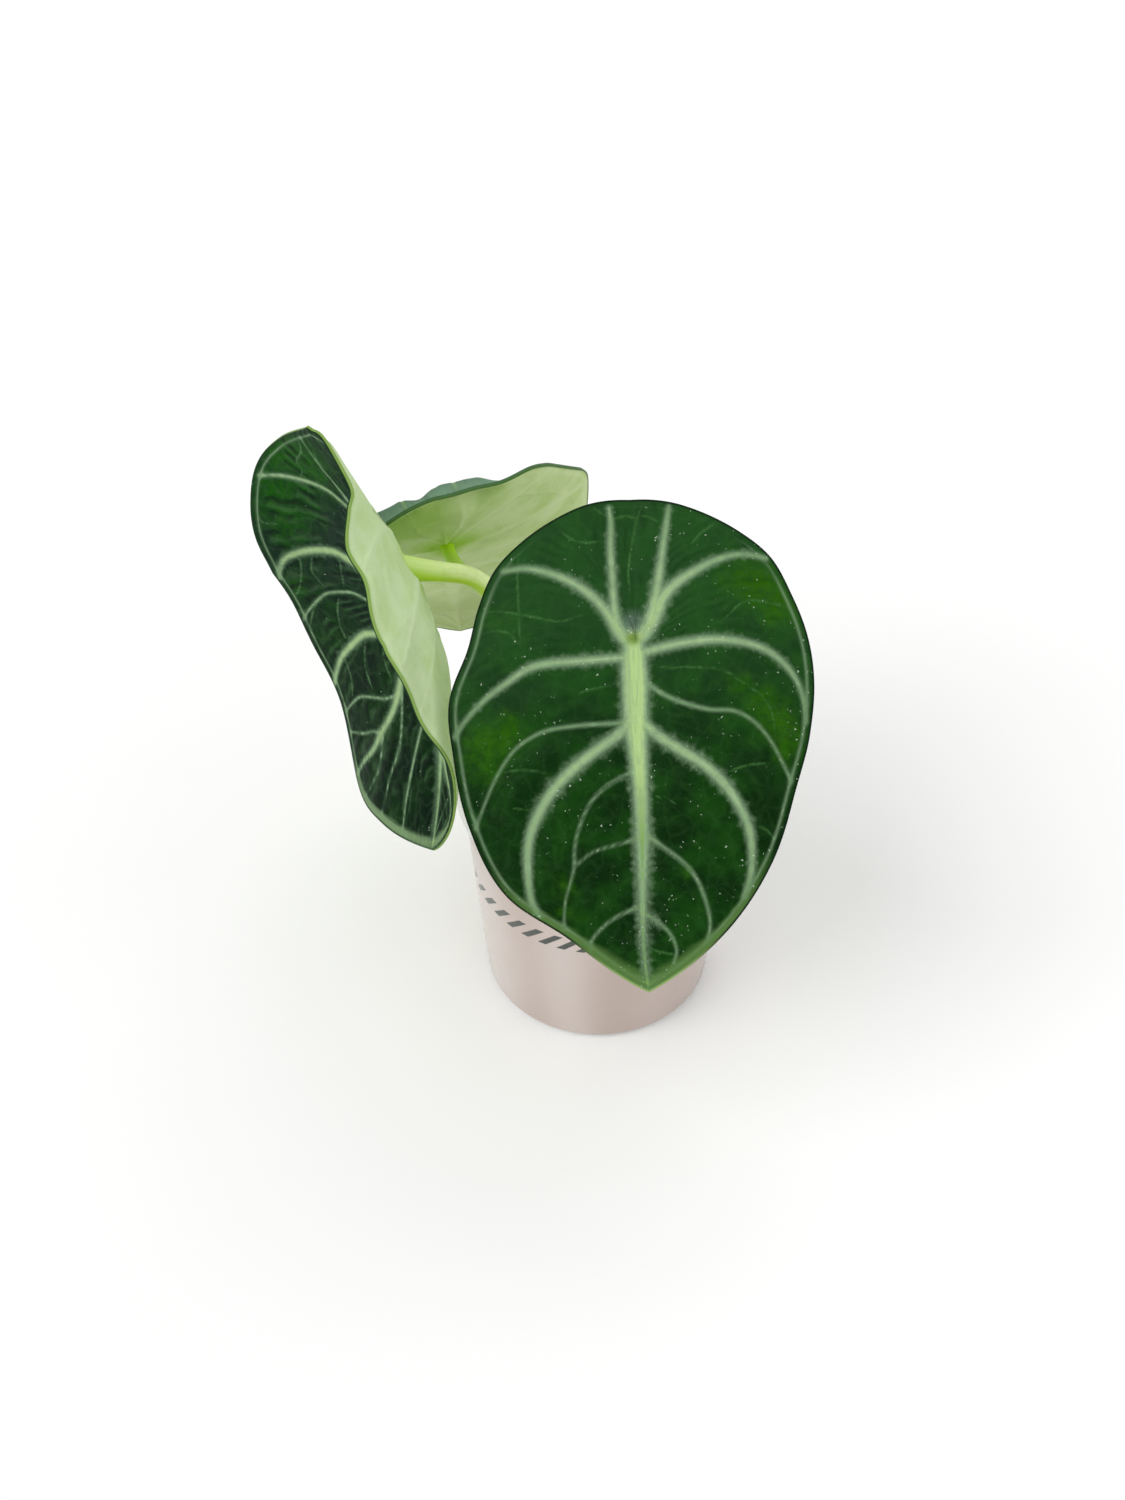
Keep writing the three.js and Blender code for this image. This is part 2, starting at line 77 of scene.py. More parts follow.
# Waves in all directions added up: a soft random height between about -1 and 1
def waves(x, y, size, seed, count=24):
    rng = np.random.default_rng(seed)
    angle = rng.uniform(0, fullTurn, count)
    pitch = fullTurn / size * rng.uniform(0.6, 1.8, count)
    phase = rng.uniform(0, fullTurn, count)
    along = np.multiply.outer(x, np.cos(angle) * pitch) + np.multiply.outer(y, np.sin(angle) * pitch)
    return np.sin(along + phase).sum(-1) * (1.6 / count) ** 0.5


# Two triangles for each cell of a grid of rows by columns; wrap joins the last column to the first
def gridFaces(rows, columns, first=0, flip=False, wrap=False):
    cells = columns if wrap else columns - 1
    i, j = np.meshgrid(np.arange(rows - 1), np.arange(cells), indexing="ij")
    a = first + i * columns + j
    b = first + i * columns + (j + 1) % columns
    c, d = a + columns, b + columns
    faces = np.concatenate([np.stack(three, -1).reshape(-1, 3) for three in ([a, b, d], [a, d, c])])
    return faces[:, ::-1] if flip else faces


# A fan from one point to a ring
def fanFaces(centre, ring, flip=False):
    faces = np.stack([np.full(len(ring), centre), ring, np.roll(ring, -1)], -1)
    return faces[:, ::-1] if flip else faces


def addObject(name, data):
    made = bpy.data.objects.new(name, data)
    bpy.context.scene.collection.objects.link(made)
    return made


# Puts points (mm) and triangles into a mesh object on the body. Points that coincide are merged, and faces
# that this flattens are left out. values are one float attribute each, flat is a UV map.
def addPiece(name, points, faces, replaced, material, values=None, flat=None, sharpDegrees=None):
    keys = np.round(points / 0.001).astype(np.int64)
    _, keep, place = np.unique(keys, axis=0, return_index=True, return_inverse=True)
    faces = place.ravel()[faces]
    faces = faces[(faces != np.roll(faces, 1, axis=1)).all(1)]
    mesh = bpy.data.meshes.new(name)
    mesh.vertices.add(len(keep))
    mesh.vertices.foreach_set("co", (points[keep] * mm).astype(np.float32).ravel())
    mesh.loops.add(faces.size)
    mesh.loops.foreach_set("vertex_index", faces.astype(np.int32).ravel())
    mesh.polygons.add(len(faces))
    mesh.polygons.foreach_set("loop_start", np.arange(0, faces.size, 3, dtype=np.int32))
    mesh.update(calc_edges=True)
    mesh.polygons.foreach_set("use_smooth", np.ones(len(faces), bool))
    for key, numbers in (values or {}).items():
        layer = mesh.attributes.new(key, "FLOAT", "POINT")
        layer.data.foreach_set("value", np.asarray(numbers, np.float32).ravel()[keep])
    if flat is not None:
        layer = mesh.uv_layers.new(name="flat")
        layer.data.foreach_set("uv", flat[keep][faces.ravel()].astype(np.float32).ravel())
    if sharpDegrees:
        mesh.set_sharp_from_angle(angle=math.radians(sharpDegrees))
    mesh.materials.append(material)
    piece = addObject(name, mesh)
    if replaced:
        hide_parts(*replaced)
    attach(piece, "root")
    print("made", name, len(faces), "triangles")
    return piece


# Small helpers for shader nodes. A Field is an output of a node: sums, differences and products of fields and
# numbers become Math nodes, and an index picks another output of the same node.
class Field:
    def __init__(self, socket):
        self.socket, self.tree = socket, socket.id_data

    def __getitem__(self, name):
        return Field(self.socket.node.outputs[name])

    def __add__(self, other):
        return calc("ADD", self, other)

    def __sub__(self, other):
        return calc("SUBTRACT", self, other)

    def __rsub__(self, other):
        return calc("SUBTRACT", other, self)

    def __mul__(self, other):
        return calc("MULTIPLY", self, other)


def fill(node, inputs):  # links or sets the inputs of a node
    for key, value in inputs.items():
        if isinstance(value, Field):
            value.tree.links.new(value.socket, node.inputs[key])
        else:
            node.inputs[key].default_value = value


def put(tree, kind, inputs, out=0, **settings):  # a node with its settings and inputs, as one of its outputs
    node = tree.nodes.new(kind)
    for key, value in settings.items():
        setattr(node, key, value)
    fill(node, inputs)
    return Field(node.outputs[out])


def calc(operation, *values):
    tree = next(value.tree for value in values if isinstance(value, Field))
    return put(tree, "ShaderNodeMath", dict(enumerate(values)), operation=operation)


def space(operation, place, *values, out=0):  # the same for vectors
    inputs = dict(enumerate([place, *values]))
    return put(place.tree, "ShaderNodeVectorMath", inputs, out, operation=operation)


def ramp(value, low, high, top=1.0):  # 0 where value is low, top where it is high
    inputs = {"Value": value, "From Min": low, "From Max": high, "To Min": 0.0, "To Max": top}
    return put(value.tree, "ShaderNodeMapRange", inputs, interpolation_type="SMOOTHSTEP")


def mixValue(share, first, second):
    return put(share.tree, "ShaderNodeMix", {0: share, 2: first, 3: second}, data_type="FLOAT")


def layered(colour, layers):  # colours laid over the first one, each by its share
    for share, over in layers:
        colour = put(share.tree, "ShaderNodeMix", {0: share, 6: colour, 7: over}, 2, data_type="RGBA")
    return colour


def noise(place, scale, detail=2.0, rough=0.5):
    inputs = {"Vector": place, "Scale": scale, "Detail": detail, "Roughness": rough}
    return put(place.tree, "ShaderNodeTexNoise", inputs)


def shaken(place, scale, detail, far):  # the place moved to and fro by a noise
    return space("MULTIPLY_ADD", noise(place, scale, detail)["Color"], (far, far, 0), place)


def read(tree, name):  # a float attribute of the mesh
    return put(tree, "ShaderNodeAttribute", {}, "Fac", attribute_name=name)


def joined(x, y, z=0.0):
    return put(x.tree, "ShaderNodeCombineXYZ", {0: x, 1: y, 2: z})


def split(place):
    return put(place.tree, "ShaderNodeSeparateXYZ", {0: place})


def millimetres(tree):  # Object coordinates in millimetres
    return space("MULTIPLY", put(tree, "ShaderNodeTexCoord", {}, "Object"), (1 / mm, 1 / mm, 1 / mm))


def flatPlace(tree):  # the leaf's own flat coordinates in millimetres
    return space("MULTIPLY", put(tree, "ShaderNodeTexCoord", {}, "UV"), (flatScale, flatScale, flatScale))


def tint(red, green, blue):  # a screen colour of 0 to 255 as the linear colour that a shader takes
    parts = np.array([red, green, blue]) / 255
    linear = np.where(parts <= 0.04045, parts / 12.92, ((parts + 0.055) / 1.055) ** 2.4)
    return (*linear, 1.0)


# A node group with named inputs, which are numbers or vectors, and named outputs, which are numbers that the
# function make works out from them
def newGroup(name, inputs, outputs, make):
    tree = bpy.data.node_groups.new(name, "ShaderNodeTree")
    for label, value in inputs.items():
        kind = "NodeSocketVector" if isinstance(value, tuple) else "NodeSocketFloat"
        tree.interface.new_socket(name=label, in_out="INPUT", socket_type=kind).default_value = value
    for label in outputs:
        tree.interface.new_socket(name=label, in_out="OUTPUT", socket_type="NodeSocketFloat")
    given = Field(tree.nodes.new("NodeGroupInput").outputs[0])
    fill(tree.nodes.new("NodeGroupOutput"), dict(zip(outputs, make(given))))
    return tree


def useGroup(tree, group, inputs):
    return put(tree, "ShaderNodeGroup", inputs, node_tree=group)


# A material whose colour, roughness and height come from the function paint; depth is the full height of the
# bump in millimetres
def newMaterial(name, paint, depth=0.1, specular=0.5):
    material = bpy.data.materials.new(name)
    material.use_nodes = True
    tree = material.node_tree
    colour, roughness, height = paint(tree)
    inputs = {"Base Color": colour, "Roughness": roughness, "Specular IOR Level": specular}
    if height:
        relief = {"Height": height, "Distance": depth * mm, "Strength": 1.0}
        inputs["Normal"] = put(tree, "ShaderNodeBump", relief)
    fill(tree.nodes["Principled BSDF"], inputs)
    return material


# Grain: two sizes of noise, one fine and one broad, for any surface that isn't quite even
def makeGrain(given):
    place = given["Place"]
    return noise(place, given["Fine"], 3.0, 0.6), noise(place, given["Broad"])


# Specks: one small dot in some of the cells of a cell pattern
def makeSpecks(given):
    scale = calc("DIVIDE", 1.0, given["Spacing"])
    cells = put(given.tree, "ShaderNodeTexVoronoi", {"Vector": given["Place"], "Scale": scale})
    random = put(given.tree, "ShaderNodeSeparateColor", {0: cells["Color"]})
    size = given["Radius"] * scale * (random[1] * 0.9 + 0.4)
    dot = ramp(cells["Distance"], size, size * 0.5)
    return [dot * calc("LESS_THAN", random[0], given["Share"])]


grainInputs = {"Place": (0, 0, 0), "Fine": 3.0, "Broad": 0.2}
grainGroup = newGroup("fineGrain", grainInputs, ["Fine", "Broad"], makeGrain)
speckInputs = {"Place": (0, 0, 0), "Spacing": 2.0, "Radius": 0.15, "Share": 0.3}
speckGroup = newGroup("smallSpecks", speckInputs, ["Mask"], makeSpecks)


def grainOf(place, fine, broad):
    return useGroup(place.tree, grainGroup, {"Place": place, "Fine": fine, "Broad": broad})


def specksOf(place, spacing, radius, share):
    inputs = {"Place": place, "Spacing": spacing, "Radius": radius, "Share": share}
    return useGroup(place.tree, speckGroup, inputs)


# Leaf blades. A blade is laid out flat from the joint with its stalk: one axis points to the tip, the other
# to the margin. Its outline is a radius for each 15 degrees from the tip (0) to the notch end (180), and its
# veins run in rows from the midrib to the margin.
flatScale = 100.0  # the UV map holds flat millimetres divided by this
blade = {
    "outlineStep": 15,
    "reach": 53,
    "notchReach": 26,
    "halfWidth": 28,
    "creaseRadius": 1.2,
    "thickness": 0.9,
    "marginThickness": 0.65,
    "midribDepth": 1.3,
    "ribDepth": 0.32,
    "collectorPlace": 1.15,
    "collectorHalfWidth": 0.07,
    "webbing": 0.28,
    "groove": 0.1,
    "twigHalfWidth": 0.12,
    "twigGroove": 0.05,
    "roll": {"place": 0.82, "width": 0.13, "start": 8, "beside": 6, "dipWidth": 5, "dipShare": 0.45},
    "rowSteps": 21,
    "upperColumns": 92,
    "underColumns": 46,
}

# Each row: where it leaves the midrib as a share of the way to the tip, the angle at which it meets the
# outline, how far it arches towards the stalk (mm), and the vein's half width (mm), 0 between veins
leftRows = [
    [0.924, 0, 0, 0], [0.861, 4, 0, 0], [0.758, 9, 1.4, 0.4], [0.444, 15, 3.7, 0.25],
    [0.242, 19, 8.4, 0.85], [0.203, 32, 8, 0], [0.166, 46, 5.1, 0.25], [0.041, 69, 3.4, 0.65],
    [0.026, 81, 4.2, 0], [0.011, 97, 4.7, 0], [-0.004, 114, 4.9, 0.65], [-0.018, 131, 4, 0],
    [-0.033, 150, 1, 0], [-0.048, 171, -1.5, 0.55], [-0.067, 180, 0, 0],
]
rightRows = [
    [0.924, 0, 0, 0], [0.861, 4, 0.6, 0], [0.758, 9, 2, 0.4], [0.518, 14, 4.3, 0.38],
    [0.242, 24, 6.2, 0.85], [0.185, 35, 6, 0], [0.129, 50, 4.1, 0.25], [0.037, 73, 4.6, 0.65],
    [0.022, 92, 4.4, 0], [0.007, 108, 4.1, 0], [-0.007, 122, 5.5, 0.65], [-0.022, 139, 4.6, 0],
    [-0.035, 154, 2.1, 0], [-0.048, 166.5, -1.9, 0.55], [-0.067, 180, 0, 0],
]
outerRows = [
    [0.924, 0, 0, 0], [0.816, 2, 0.8, 0], [0.531, 5, 2.4, 0.3], [0.408, 10, 4.2, 0.35],
    [0.265, 31, 3, 0.85], [0.235, 41, 3.4, 0], [0.194, 51, 3.8, 0.7], [0.133, 63, 2.4, 0],
    [0.078, 75, 2, 0.35], [0.029, 96, 2.6, 0.85], [-0.004, 115, 3.2, 0], [-0.02, 134, 3, 0.75],
    [-0.037, 151, 1, 0], [-0.053, 169, -1.2, 0.5], [-0.067, 180, 0, 0],
]

# Veins drawn on the flat blade: (to the right, to the tip, half width) in mm
frontVeins = [
    [(-0.4, -1.2, 1.3), (-0.4, 2, 1.9), (-0.45, 7, 2), (-0.5, 12.5, 1.75), (-0.2, 20.6, 1.25),
     (-0.2, 30, 0.95), (-0.5, 39, 0.55), (-0.6, 46.6, 0.34), (-0.1, 53.4, 0.24)],
    [(-0.9, -0.8, 0.8), (-2, -1.6, 0.85), (-2.8, -3.2, 0.78), (-3.1, -6, 0.62), (-3.2, -10.2, 0.54),
     (-3.3, -15.1, 0.48), (-3.1, -18.9, 0.4), (-3.3, -21.4, 0.25)],
    [(0.2, -0.9, 0.85), (1.5, -1.7, 0.95), (2.4, -3.5, 0.95), (3.1, -6.2, 0.8), (3.9, -9.9, 0.65),
     (4.9, -15.4, 0.5), (5.6, -19.1, 0.4), (6, -21.2, 0.25)],
    [(-1.2, -0.6, 0.8), (-2.5, -2, 0.9), (-4.2, -5, 0.76), (-6.2, -7.5, 0.68), (-9.2, -9.8, 0.62),
     (-12.8, -11.5, 0.52), (-16.5, -12.4, 0.42), (-19.9, -12.1, 0.3)],
    [(0.6, -1.1, 0.9), (2.9, -3.8, 1), (4.5, -7.1, 0.9), (6.7, -9.3, 0.74), (9.9, -11.2, 0.6),
     (13, -12.6, 0.48), (16.7, -13.3, 0.38), (20.7, -12.6, 0.28)],
    [(-1.1, 1.9, 0.55), (-4.2, 2, 0.6), (-8.5, 2.2, 0.6), (-13.4, 2.4, 0.58), (-16.8, 3.1, 0.52),
     (-20.2, 5.2, 0.46), (-23.4, 7.4, 0.38), (-26.3, 10.2, 0.3), (-28.6, 13.2, 0.2)],
    [(0.8, 1.3, 0.6), (3.9, 0.6, 0.65), (7.6, 0, 0.66), (11.9, -0.3, 0.62), (16.1, 0.2, 0.56),
     (19.8, 1.5, 0.5), (22.7, 3.8, 0.44), (24.6, 6.6, 0.36), (25.5, 9.6, 0.28), (25.8, 13, 0.18)],
    [(-1.5, 11.9, 0.3), (-5.2, 12, 0.26), (-8.9, 12.1, 0.24), (-13.8, 12.6, 0.22), (-16.9, 13.8, 0.2),
     (-19.7, 15.9, 0.18), (-22.7, 20.3, 0.16), (-25.9, 27.4, 0.12)],
    [(1.2, 5.7, 0.3), (3.6, 7.6, 0.28), (6.6, 9.1, 0.27), (10.8, 10.4, 0.25), (14.7, 10.8, 0.22),
     (17.7, 12.6, 0.2), (20.1, 15.6, 0.18), (22.1, 19.7, 0.16), (23, 22, 0.12)],
    [(-0.9, 11.5, 0.7), (-3.4, 13.8, 0.75), (-6.6, 15.9, 0.78), (-10.4, 18.7, 0.78), (-13.9, 22.2, 0.74),
     (-16.5, 26.4, 0.68), (-17.7, 29.9, 0.62), (-18, 34, 0.54), (-17.7, 38.4, 0.44), (-16.5, 41.4, 0.32)],
    [(0.3, 11.6, 0.7), (2.7, 14, 0.74), (6.3, 16.5, 0.76), (9.8, 18.9, 0.74), (12.8, 22, 0.7),
     (14.8, 25.2, 0.65), (16.2, 28.6, 0.6), (16.6, 32.3, 0.52), (16.3, 36, 0.42), (15.2, 39.4, 0.3)],
    [(-1.4, 19.6, 0.24), (-5.3, 21.5, 0.2), (-8.1, 24.2, 0.18), (-10, 28.2, 0.17), (-10.7, 31.2, 0.16),
     (-11, 34.5, 0.14), (-12.4, 39.1, 0.1), (-12.8, 43.4, 0.06)],
    [(-0.7, 29.8, 0.22), (-4.1, 30.6, 0.17), (-7.8, 31.6, 0.14), (-10.2, 33.3, 0.1)],
    [(0.6, 29.4, 0.3), (2.7, 31.1, 0.26), (5.6, 33.4, 0.24), (7.7, 35.9, 0.22), (9.1, 39.4, 0.2),
     (9.8, 43.1, 0.17), (9.3, 46.2, 0.13)],
    [(-0.2, 41.6, 0.22), (1.9, 43, 0.2), (3.7, 45, 0.18), (4.5, 47.4, 0.16), (4, 49.4, 0.12)],
    [(-0.9, 40.4, 0.24), (-3.9, 41.5, 0.2), (-6.4, 43, 0.18), (-8.5, 45.2, 0.16), (-9, 47.3, 0.12)],
]
outerVeins = [
    [(-0.5, -1, 0.5), (-2.5, -6, 0.4), (-4.4, -14, 0.24), (-6.3, -20, 0.14), (-6.6, -25.4, 0.1)],
    [(-0.8, -1.5, 0.6), (-3.5, -9, 0.5), (-6.7, -13.4, 0.45), (-9.2, -15.1, 0.42), (-13, -16.4, 0.4),
     (-16.9, -17.6, 0.36), (-20.8, -18.3, 0.28)],
    [(-0.5, 1.4, 0.7), (-4, 2, 0.7), (-8, 0.8, 0.7), (-11.3, -1.5, 0.68), (-13.6, -2.8, 0.68),
     (-17.2, -3.3, 0.66), (-21.1, -3.1, 0.6), (-24.2, -2.2, 0.52), (-26, -0.2, 0.36), (-26.9, 1.4, 0.2)],
    [(-0.6, 8.5, 0.3), (-3, 9, 0.28), (-8, 7.8, 0.26), (-12.6, 5.3, 0.25), (-15.3, 4.9, 0.25),
     (-18.3, 5, 0.25), (-20.4, 5.7, 0.24), (-23.6, 7.7, 0.2), (-26.6, 10.2, 0.12)],
    [(-0.8, 10.4, 0.7), (-6, 11.5, 0.68), (-11.2, 12.5, 0.66), (-14.3, 12.9, 0.64), (-17.8, 14.9, 0.6),
     (-21.1, 17.2, 0.54), (-23.4, 19.8, 0.44), (-25.6, 22.9, 0.28)],
    [(-8.4, 22.8, 0.22), (-11.9, 23.8, 0.22), (-14.4, 23.9, 0.22), (-18.3, 24, 0.22), (-20.8, 25.1, 0.2),
     (-23.8, 27.1, 0.12)],
    [(-0.8, 12.6, 0.7), (-4.5, 15.5, 0.66), (-7.5, 20, 0.64), (-9.5, 24.2, 0.62), (-11.5, 27.1, 0.6),
     (-14, 29.8, 0.56), (-16.5, 32.8, 0.5), (-19.7, 35, 0.4), (-22.2, 37.2, 0.24)],
    [(-14, 29.8, 0.2), (-16.2, 29.7, 0.2), (-19.2, 30.3, 0.2), (-23.3, 30.4, 0.12)],
    [(-13.6, 30.5, 0.2), (-14, 32.6, 0.2), (-14.5, 35.4, 0.2), (-16.6, 38.3, 0.18), (-18.2, 40.2, 0.1)],
    [(-1.5, 23, 0.26), (-4.3, 29.1, 0.24), (-6.1, 34.7, 0.22), (-7.1, 40.3, 0.2), (-7, 45, 0.12)],
    [(-7.6, 21.5, 0.2), (-8.4, 26.6, 0.2), (-9.4, 31.7, 0.2), (-11.8, 37.4, 0.18), (-12.9, 43, 0.1)],
]

# Fine veins, drawn one by one: (to the right, to the tip) in mm
frontTwigs = [
    [(-17.4, -15.4), (-17.8, -11.4), (-17.8, -6), (-17.8, 0.8)],
    [(-11.2, -18.2), (-8.2, -16.2), (-4, -16.2)],
    [(-23.4, -5.8), (-20.8, -6), (-15.2, -4.8), (-11.4, -4), (-6.6, -5.4)],
    [(-24.6, -2.6), (-21, -3), (-19, -2), (-18, -0.2)],
    [(-21.8, 18.8), (-17.6, 18.6), (-13.6, 19.4)],
    [(-20.2, 24.4), (-17.2, 24.8)],
    [(-3.4, 6.2), (-6.8, 6.6), (-10.4, 7.6)],
    [(9, -15), (11, -17), (13.2, -18.4)],
    [(13, -2.6), (16.4, -5.6), (19, -6), (24.6, -4.6)],
    [(2, 3.4), (5.4, 3.8), (12.2, 4.2), (15.4, 6), (20.2, 10.4), (20.8, 18.4)],
    [(12.8, 20.4), (16.2, 19.2), (21, 19)],
    [(16.6, 28.8), (18.6, 29), (20.8, 31.4)],
    [(1.4, 23.4), (3.6, 23.8), (5.8, 25.2)],
    [(-0.6, 46.8), (2, 47.6), (5.2, 48.4)],
    [(2, -22.2), (0.8, -18.6), (-0.6, -12.2), (-0.6, -7)],
    [(1.4, -20), (3, -19.6), (4.6, -18.6)],
    [(-3.4, -19.8), (-6, -21.6)],
    [(-3.4, -19.4), (-0.8, -20), (1.4, -19.4)],
]
outerTwigs = [
    [(-7.1, -26.1), (-8.8, -22.5), (-11.5, -20.4), (-11.7, -18.4), (-13.3, -16.5)],
    [(-5.3, -23), (-6.1, -20.5), (-4.3, -19)],
    [(-24.8, -11.8), (-24.4, -10), (-21.6, -9)],
    [(-19.7, 5.8), (-21.8, 6.7), (-23.7, 8.7), (-26.7, 13)],
    [(-21.4, -2.5), (-21.3, -0.6), (-23.8, 3.4), (-26.6, 6.1)],
    [(-16.2, 5.2), (-17.8, 7.8), (-18.8, 11.6), (-18.6, 14.8)],
    [(-12.5, -2.5), (-13.5, 1), (-15, 4.5)],
    [(-18, -3), (-19.5, 0.5), (-18.6, 4.6)],
    [(-14, 13), (-15.5, 18.5), (-14.8, 23.5)],
    [(-20.5, 17.5), (-20, 21), (-21, 24.8)],
    [(-9.5, 12.6), (-10.5, 17), (-9.6, 22)],
]

# Each leaf: its joint, the way to its tip and the way its upper face looks; its bow towards the tip and the
# notch; its veins. midrib is the midrib's half width at the stalk, or 0 where it is among the drawn veins;
# rowSides are the halves whose veins follow the rows; edgeLineFade fades the collecting vein towards the
# notch; the bright spots are painted glow of light shining through the tissue, given as (to the right, to
# the tip, radius, strength). In each half, fold and curl are followed by what is added towards the tip, and
# for fold towards the notch; rollFrom is the angle from which a margin rolls over.
leaves = {
    "front": {
        "hub": (5, -13.1, 89.1), "tipward": (0.04, -0.76, -0.65), "facing": (0, -0.65, 0.76),
        "bow": (-0.25, 0), "quilt": 0.55, "rollHeight": 0, "ruffle": 0.25,
        "midrib": 0, "midribTaper": 1, "veins": frontVeins, "rowSides": (), "twigs": frontTwigs, "links": 0,
        "edgeLineFade": 0.4,
        "bright": [
            (16.5, -9.6, 3.6, 0.7), (20, -8.2, 3.6, 0.9), (22.2, -4.6, 3.2, 0.8), (15.4, 7, 2.4, 0.5),
            (18.6, 9.4, 2.6, 0.7), (21.4, 12.6, 3.2, 0.9), (22.7, 16.4, 2.8, 0.8), (-25.2, 14.6, 3, 0.7),
            (-22.6, 14.2, 3.2, 0.9), (-19.6, 12.2, 2.6, 0.7), (-23.6, 18.6, 2.6, 0.7),
            (-12.2, 36.4, 2.2, 0.45), (-12.4, 40.2, 2.2, 0.5), (6.8, 35.3, 1, 0.9), (-20.5, -4.7, 2.4, 0.4),
        ],
        "halves": [
            {"side": -1, "rows": leftRows, "fold": (0.1, 0, 0), "curl": (-0.3, 0),
             "radii": [54.1, 46.6, 43.6, 38.2, 33.3, 30.3, 26.2, 25, 24.6, 23.7, 23.1, 22.9, 22.5]},
            {"side": 1, "rows": rightRows, "fold": (0.1, 0, 0), "curl": (-0.25, 0),
             "radii": [54.1, 46.6, 39.6, 33.4, 30.3, 28.3, 26.6, 25.4, 24.9, 23.7, 23, 22.7, 22.5]},
        ],
        "stalkTone": 0.4, "stalkSlim": 0, "flare": (2.0, 3.0), "stalkBase": -60,
        "stalkRoute": [(3.6, -5, 60), (5.2, -6.6, 72), (5.6, -8.4, 81.5)],
    },
    "left": {
        "hub": (-32.2, 4.8, 88.8), "tipward": (0.36, -0.21, -0.91), "facing": (-0.55, -0.83, -0.03),
        "bow": (0.95, 0.47), "quilt": 0.55, "rollHeight": 0, "ruffle": 0.3,
        "midrib": 0.95, "midribTaper": 1.1, "veins": outerVeins, "rowSides": (1,), "twigs": outerTwigs,
        "links": 2, "edgeLineFade": 0,
        "bright": [
            (-8.4, -20.2, 7, 1), (-14, -23, 6, 1), (-20, -14, 6, 0.9), (-15, -11, 4, 0.5), (-21, -7, 4, 0.7),
            (-24.2, 3.4, 3.4, 0.7), (-19, 8, 3, 0.4), (-23, 14, 3, 0.4),
        ],
        "halves": [
            {"side": -1, "rows": outerRows, "fold": (-0.09, 0.2, -0.67), "curl": (0.43, -1.28),
             "peak": (176, 0.85, 4),
             "radii": [47.9, 46.4, 44.6, 35.4, 31, 28, 27.5, 28.2, 28.5, 28.7, 27.7, 27.4, 28]},
            {"side": 1, "rows": rightRows, "fold": (0.53, -0.12, 0.69), "curl": (1.17, -0.02),
             "radii": [47.9, 42.4, 36.4, 32.8, 28.7, 26.5, 25.2, 23.6, 21.8, 23.3, 22.5, 20.6, 28]},
        ],
        "stalkTone": 0.45, "stalkSlim": 0.12, "flare": (2.0, 3.0), "stalkBase": 165,
        "stalkRoute": [
            (-6, 2.4, 58), (-11.6, 6, 69), (-18.4, 9.8, 80), (-21.4, 9.3, 83.2), (-25.4, 7.4, 85.8),
            (-28.8, 6, 87.4),
        ],
    },
    "back": {
        "hub": (-26.1, 28.2, 74.7), "tipward": (0, 0.57, -0.82), "facing": (-0.18, 0.81, 0.57),
        "bow": (-0.18, 0.4), "quilt": 0.5, "rollHeight": 3.2, "ruffle": 0.25,
        "midrib": 1.3, "midribTaper": 0.8, "veins": [], "rowSides": (-1, 1), "twigs": [], "links": 2,
        "edgeLineFade": 0.4, "bright": [(14, 20, 5, 0.8), (-18, 4, 4, 0.8), (-15, -11, 3, 0.6)],
        "halves": [
            {"side": -1, "rows": leftRows, "fold": (0.03, -0.29, 0.32), "curl": (0.79, 0.04), "rollFrom": 145,
             "radii": [51.2, 45.7, 41.4, 35.7, 32.2, 29.3, 25.7, 23.6, 22.9, 22.7, 21, 21.2, 21.8]},
            {"side": 1, "rows": rightRows, "fold": (-0.16, 0.31, -0.45), "curl": (0.5, 0), "rollFrom": 100,
             "radii": [51.2, 45.5, 39.4, 33.1, 29.3, 26.9, 24.5, 23.2, 22.7, 22.3, 22.3, 22.2, 21.8]},
        ],
        "stalkTone": 1.0, "stalkSlim": 0.42, "flare": (1.2, 2.2), "stalkBase": 75,
        "stalkRoute": [
            (-3, 8.4, 57.5), (-11, 14.8, 65.6), (-18.4, 19.6, 70.7), (-21.4, 21.4, 71.9), (-24.8, 24.2, 73.2),
        ],
    },
}


# The outline's point at an angle from the tip: its radius turned by that angle. A half may have one small
# peak (its angle, height and width), which falls off on both sides and to nothing at the notch end.
def outlinePoint(half, degrees):
    r = through(half["radii"], degrees / blade["outlineStep"])
    place, height, width = half.get("peak", (0, 0, 1))
    r = r + height * np.exp(-np.abs(degrees - place) / width) * rise(180 - degrees, 0, 3)
    return r * np.sin(np.radians(degrees)), r * np.cos(np.radians(degrees))


# A flat point of a half blade: t counts rows from the tip, q runs from 0 at the midrib to 1 at the margin.
# The row is a parabola over its chord, and close to the midrib its start slides to the mean of both halves.
def flatPoint(half, starts, t, q):
    rows = np.array(half["rows"], float)
    t, q = np.broadcast_arrays(t, q)
    start = half["radii"][0] * through(rows[:, 0], t)
    degrees = np.clip(through(rows[:, 1], t), 0, 180)
    endX, endY = outlinePoint(half, degrees)
    bulge = 4 * q * (1 - q) * through(rows[:, 2], t) / np.hypot(endX, endY - start)
    shared = (half["radii"][0] * through(starts, t) - start) * (1 - q) ** 6
    x = q * endX + bulge * (endY - start)
    return np.maximum(x, 0), start + q * (endY - start) - bulge * endX + shared, degrees


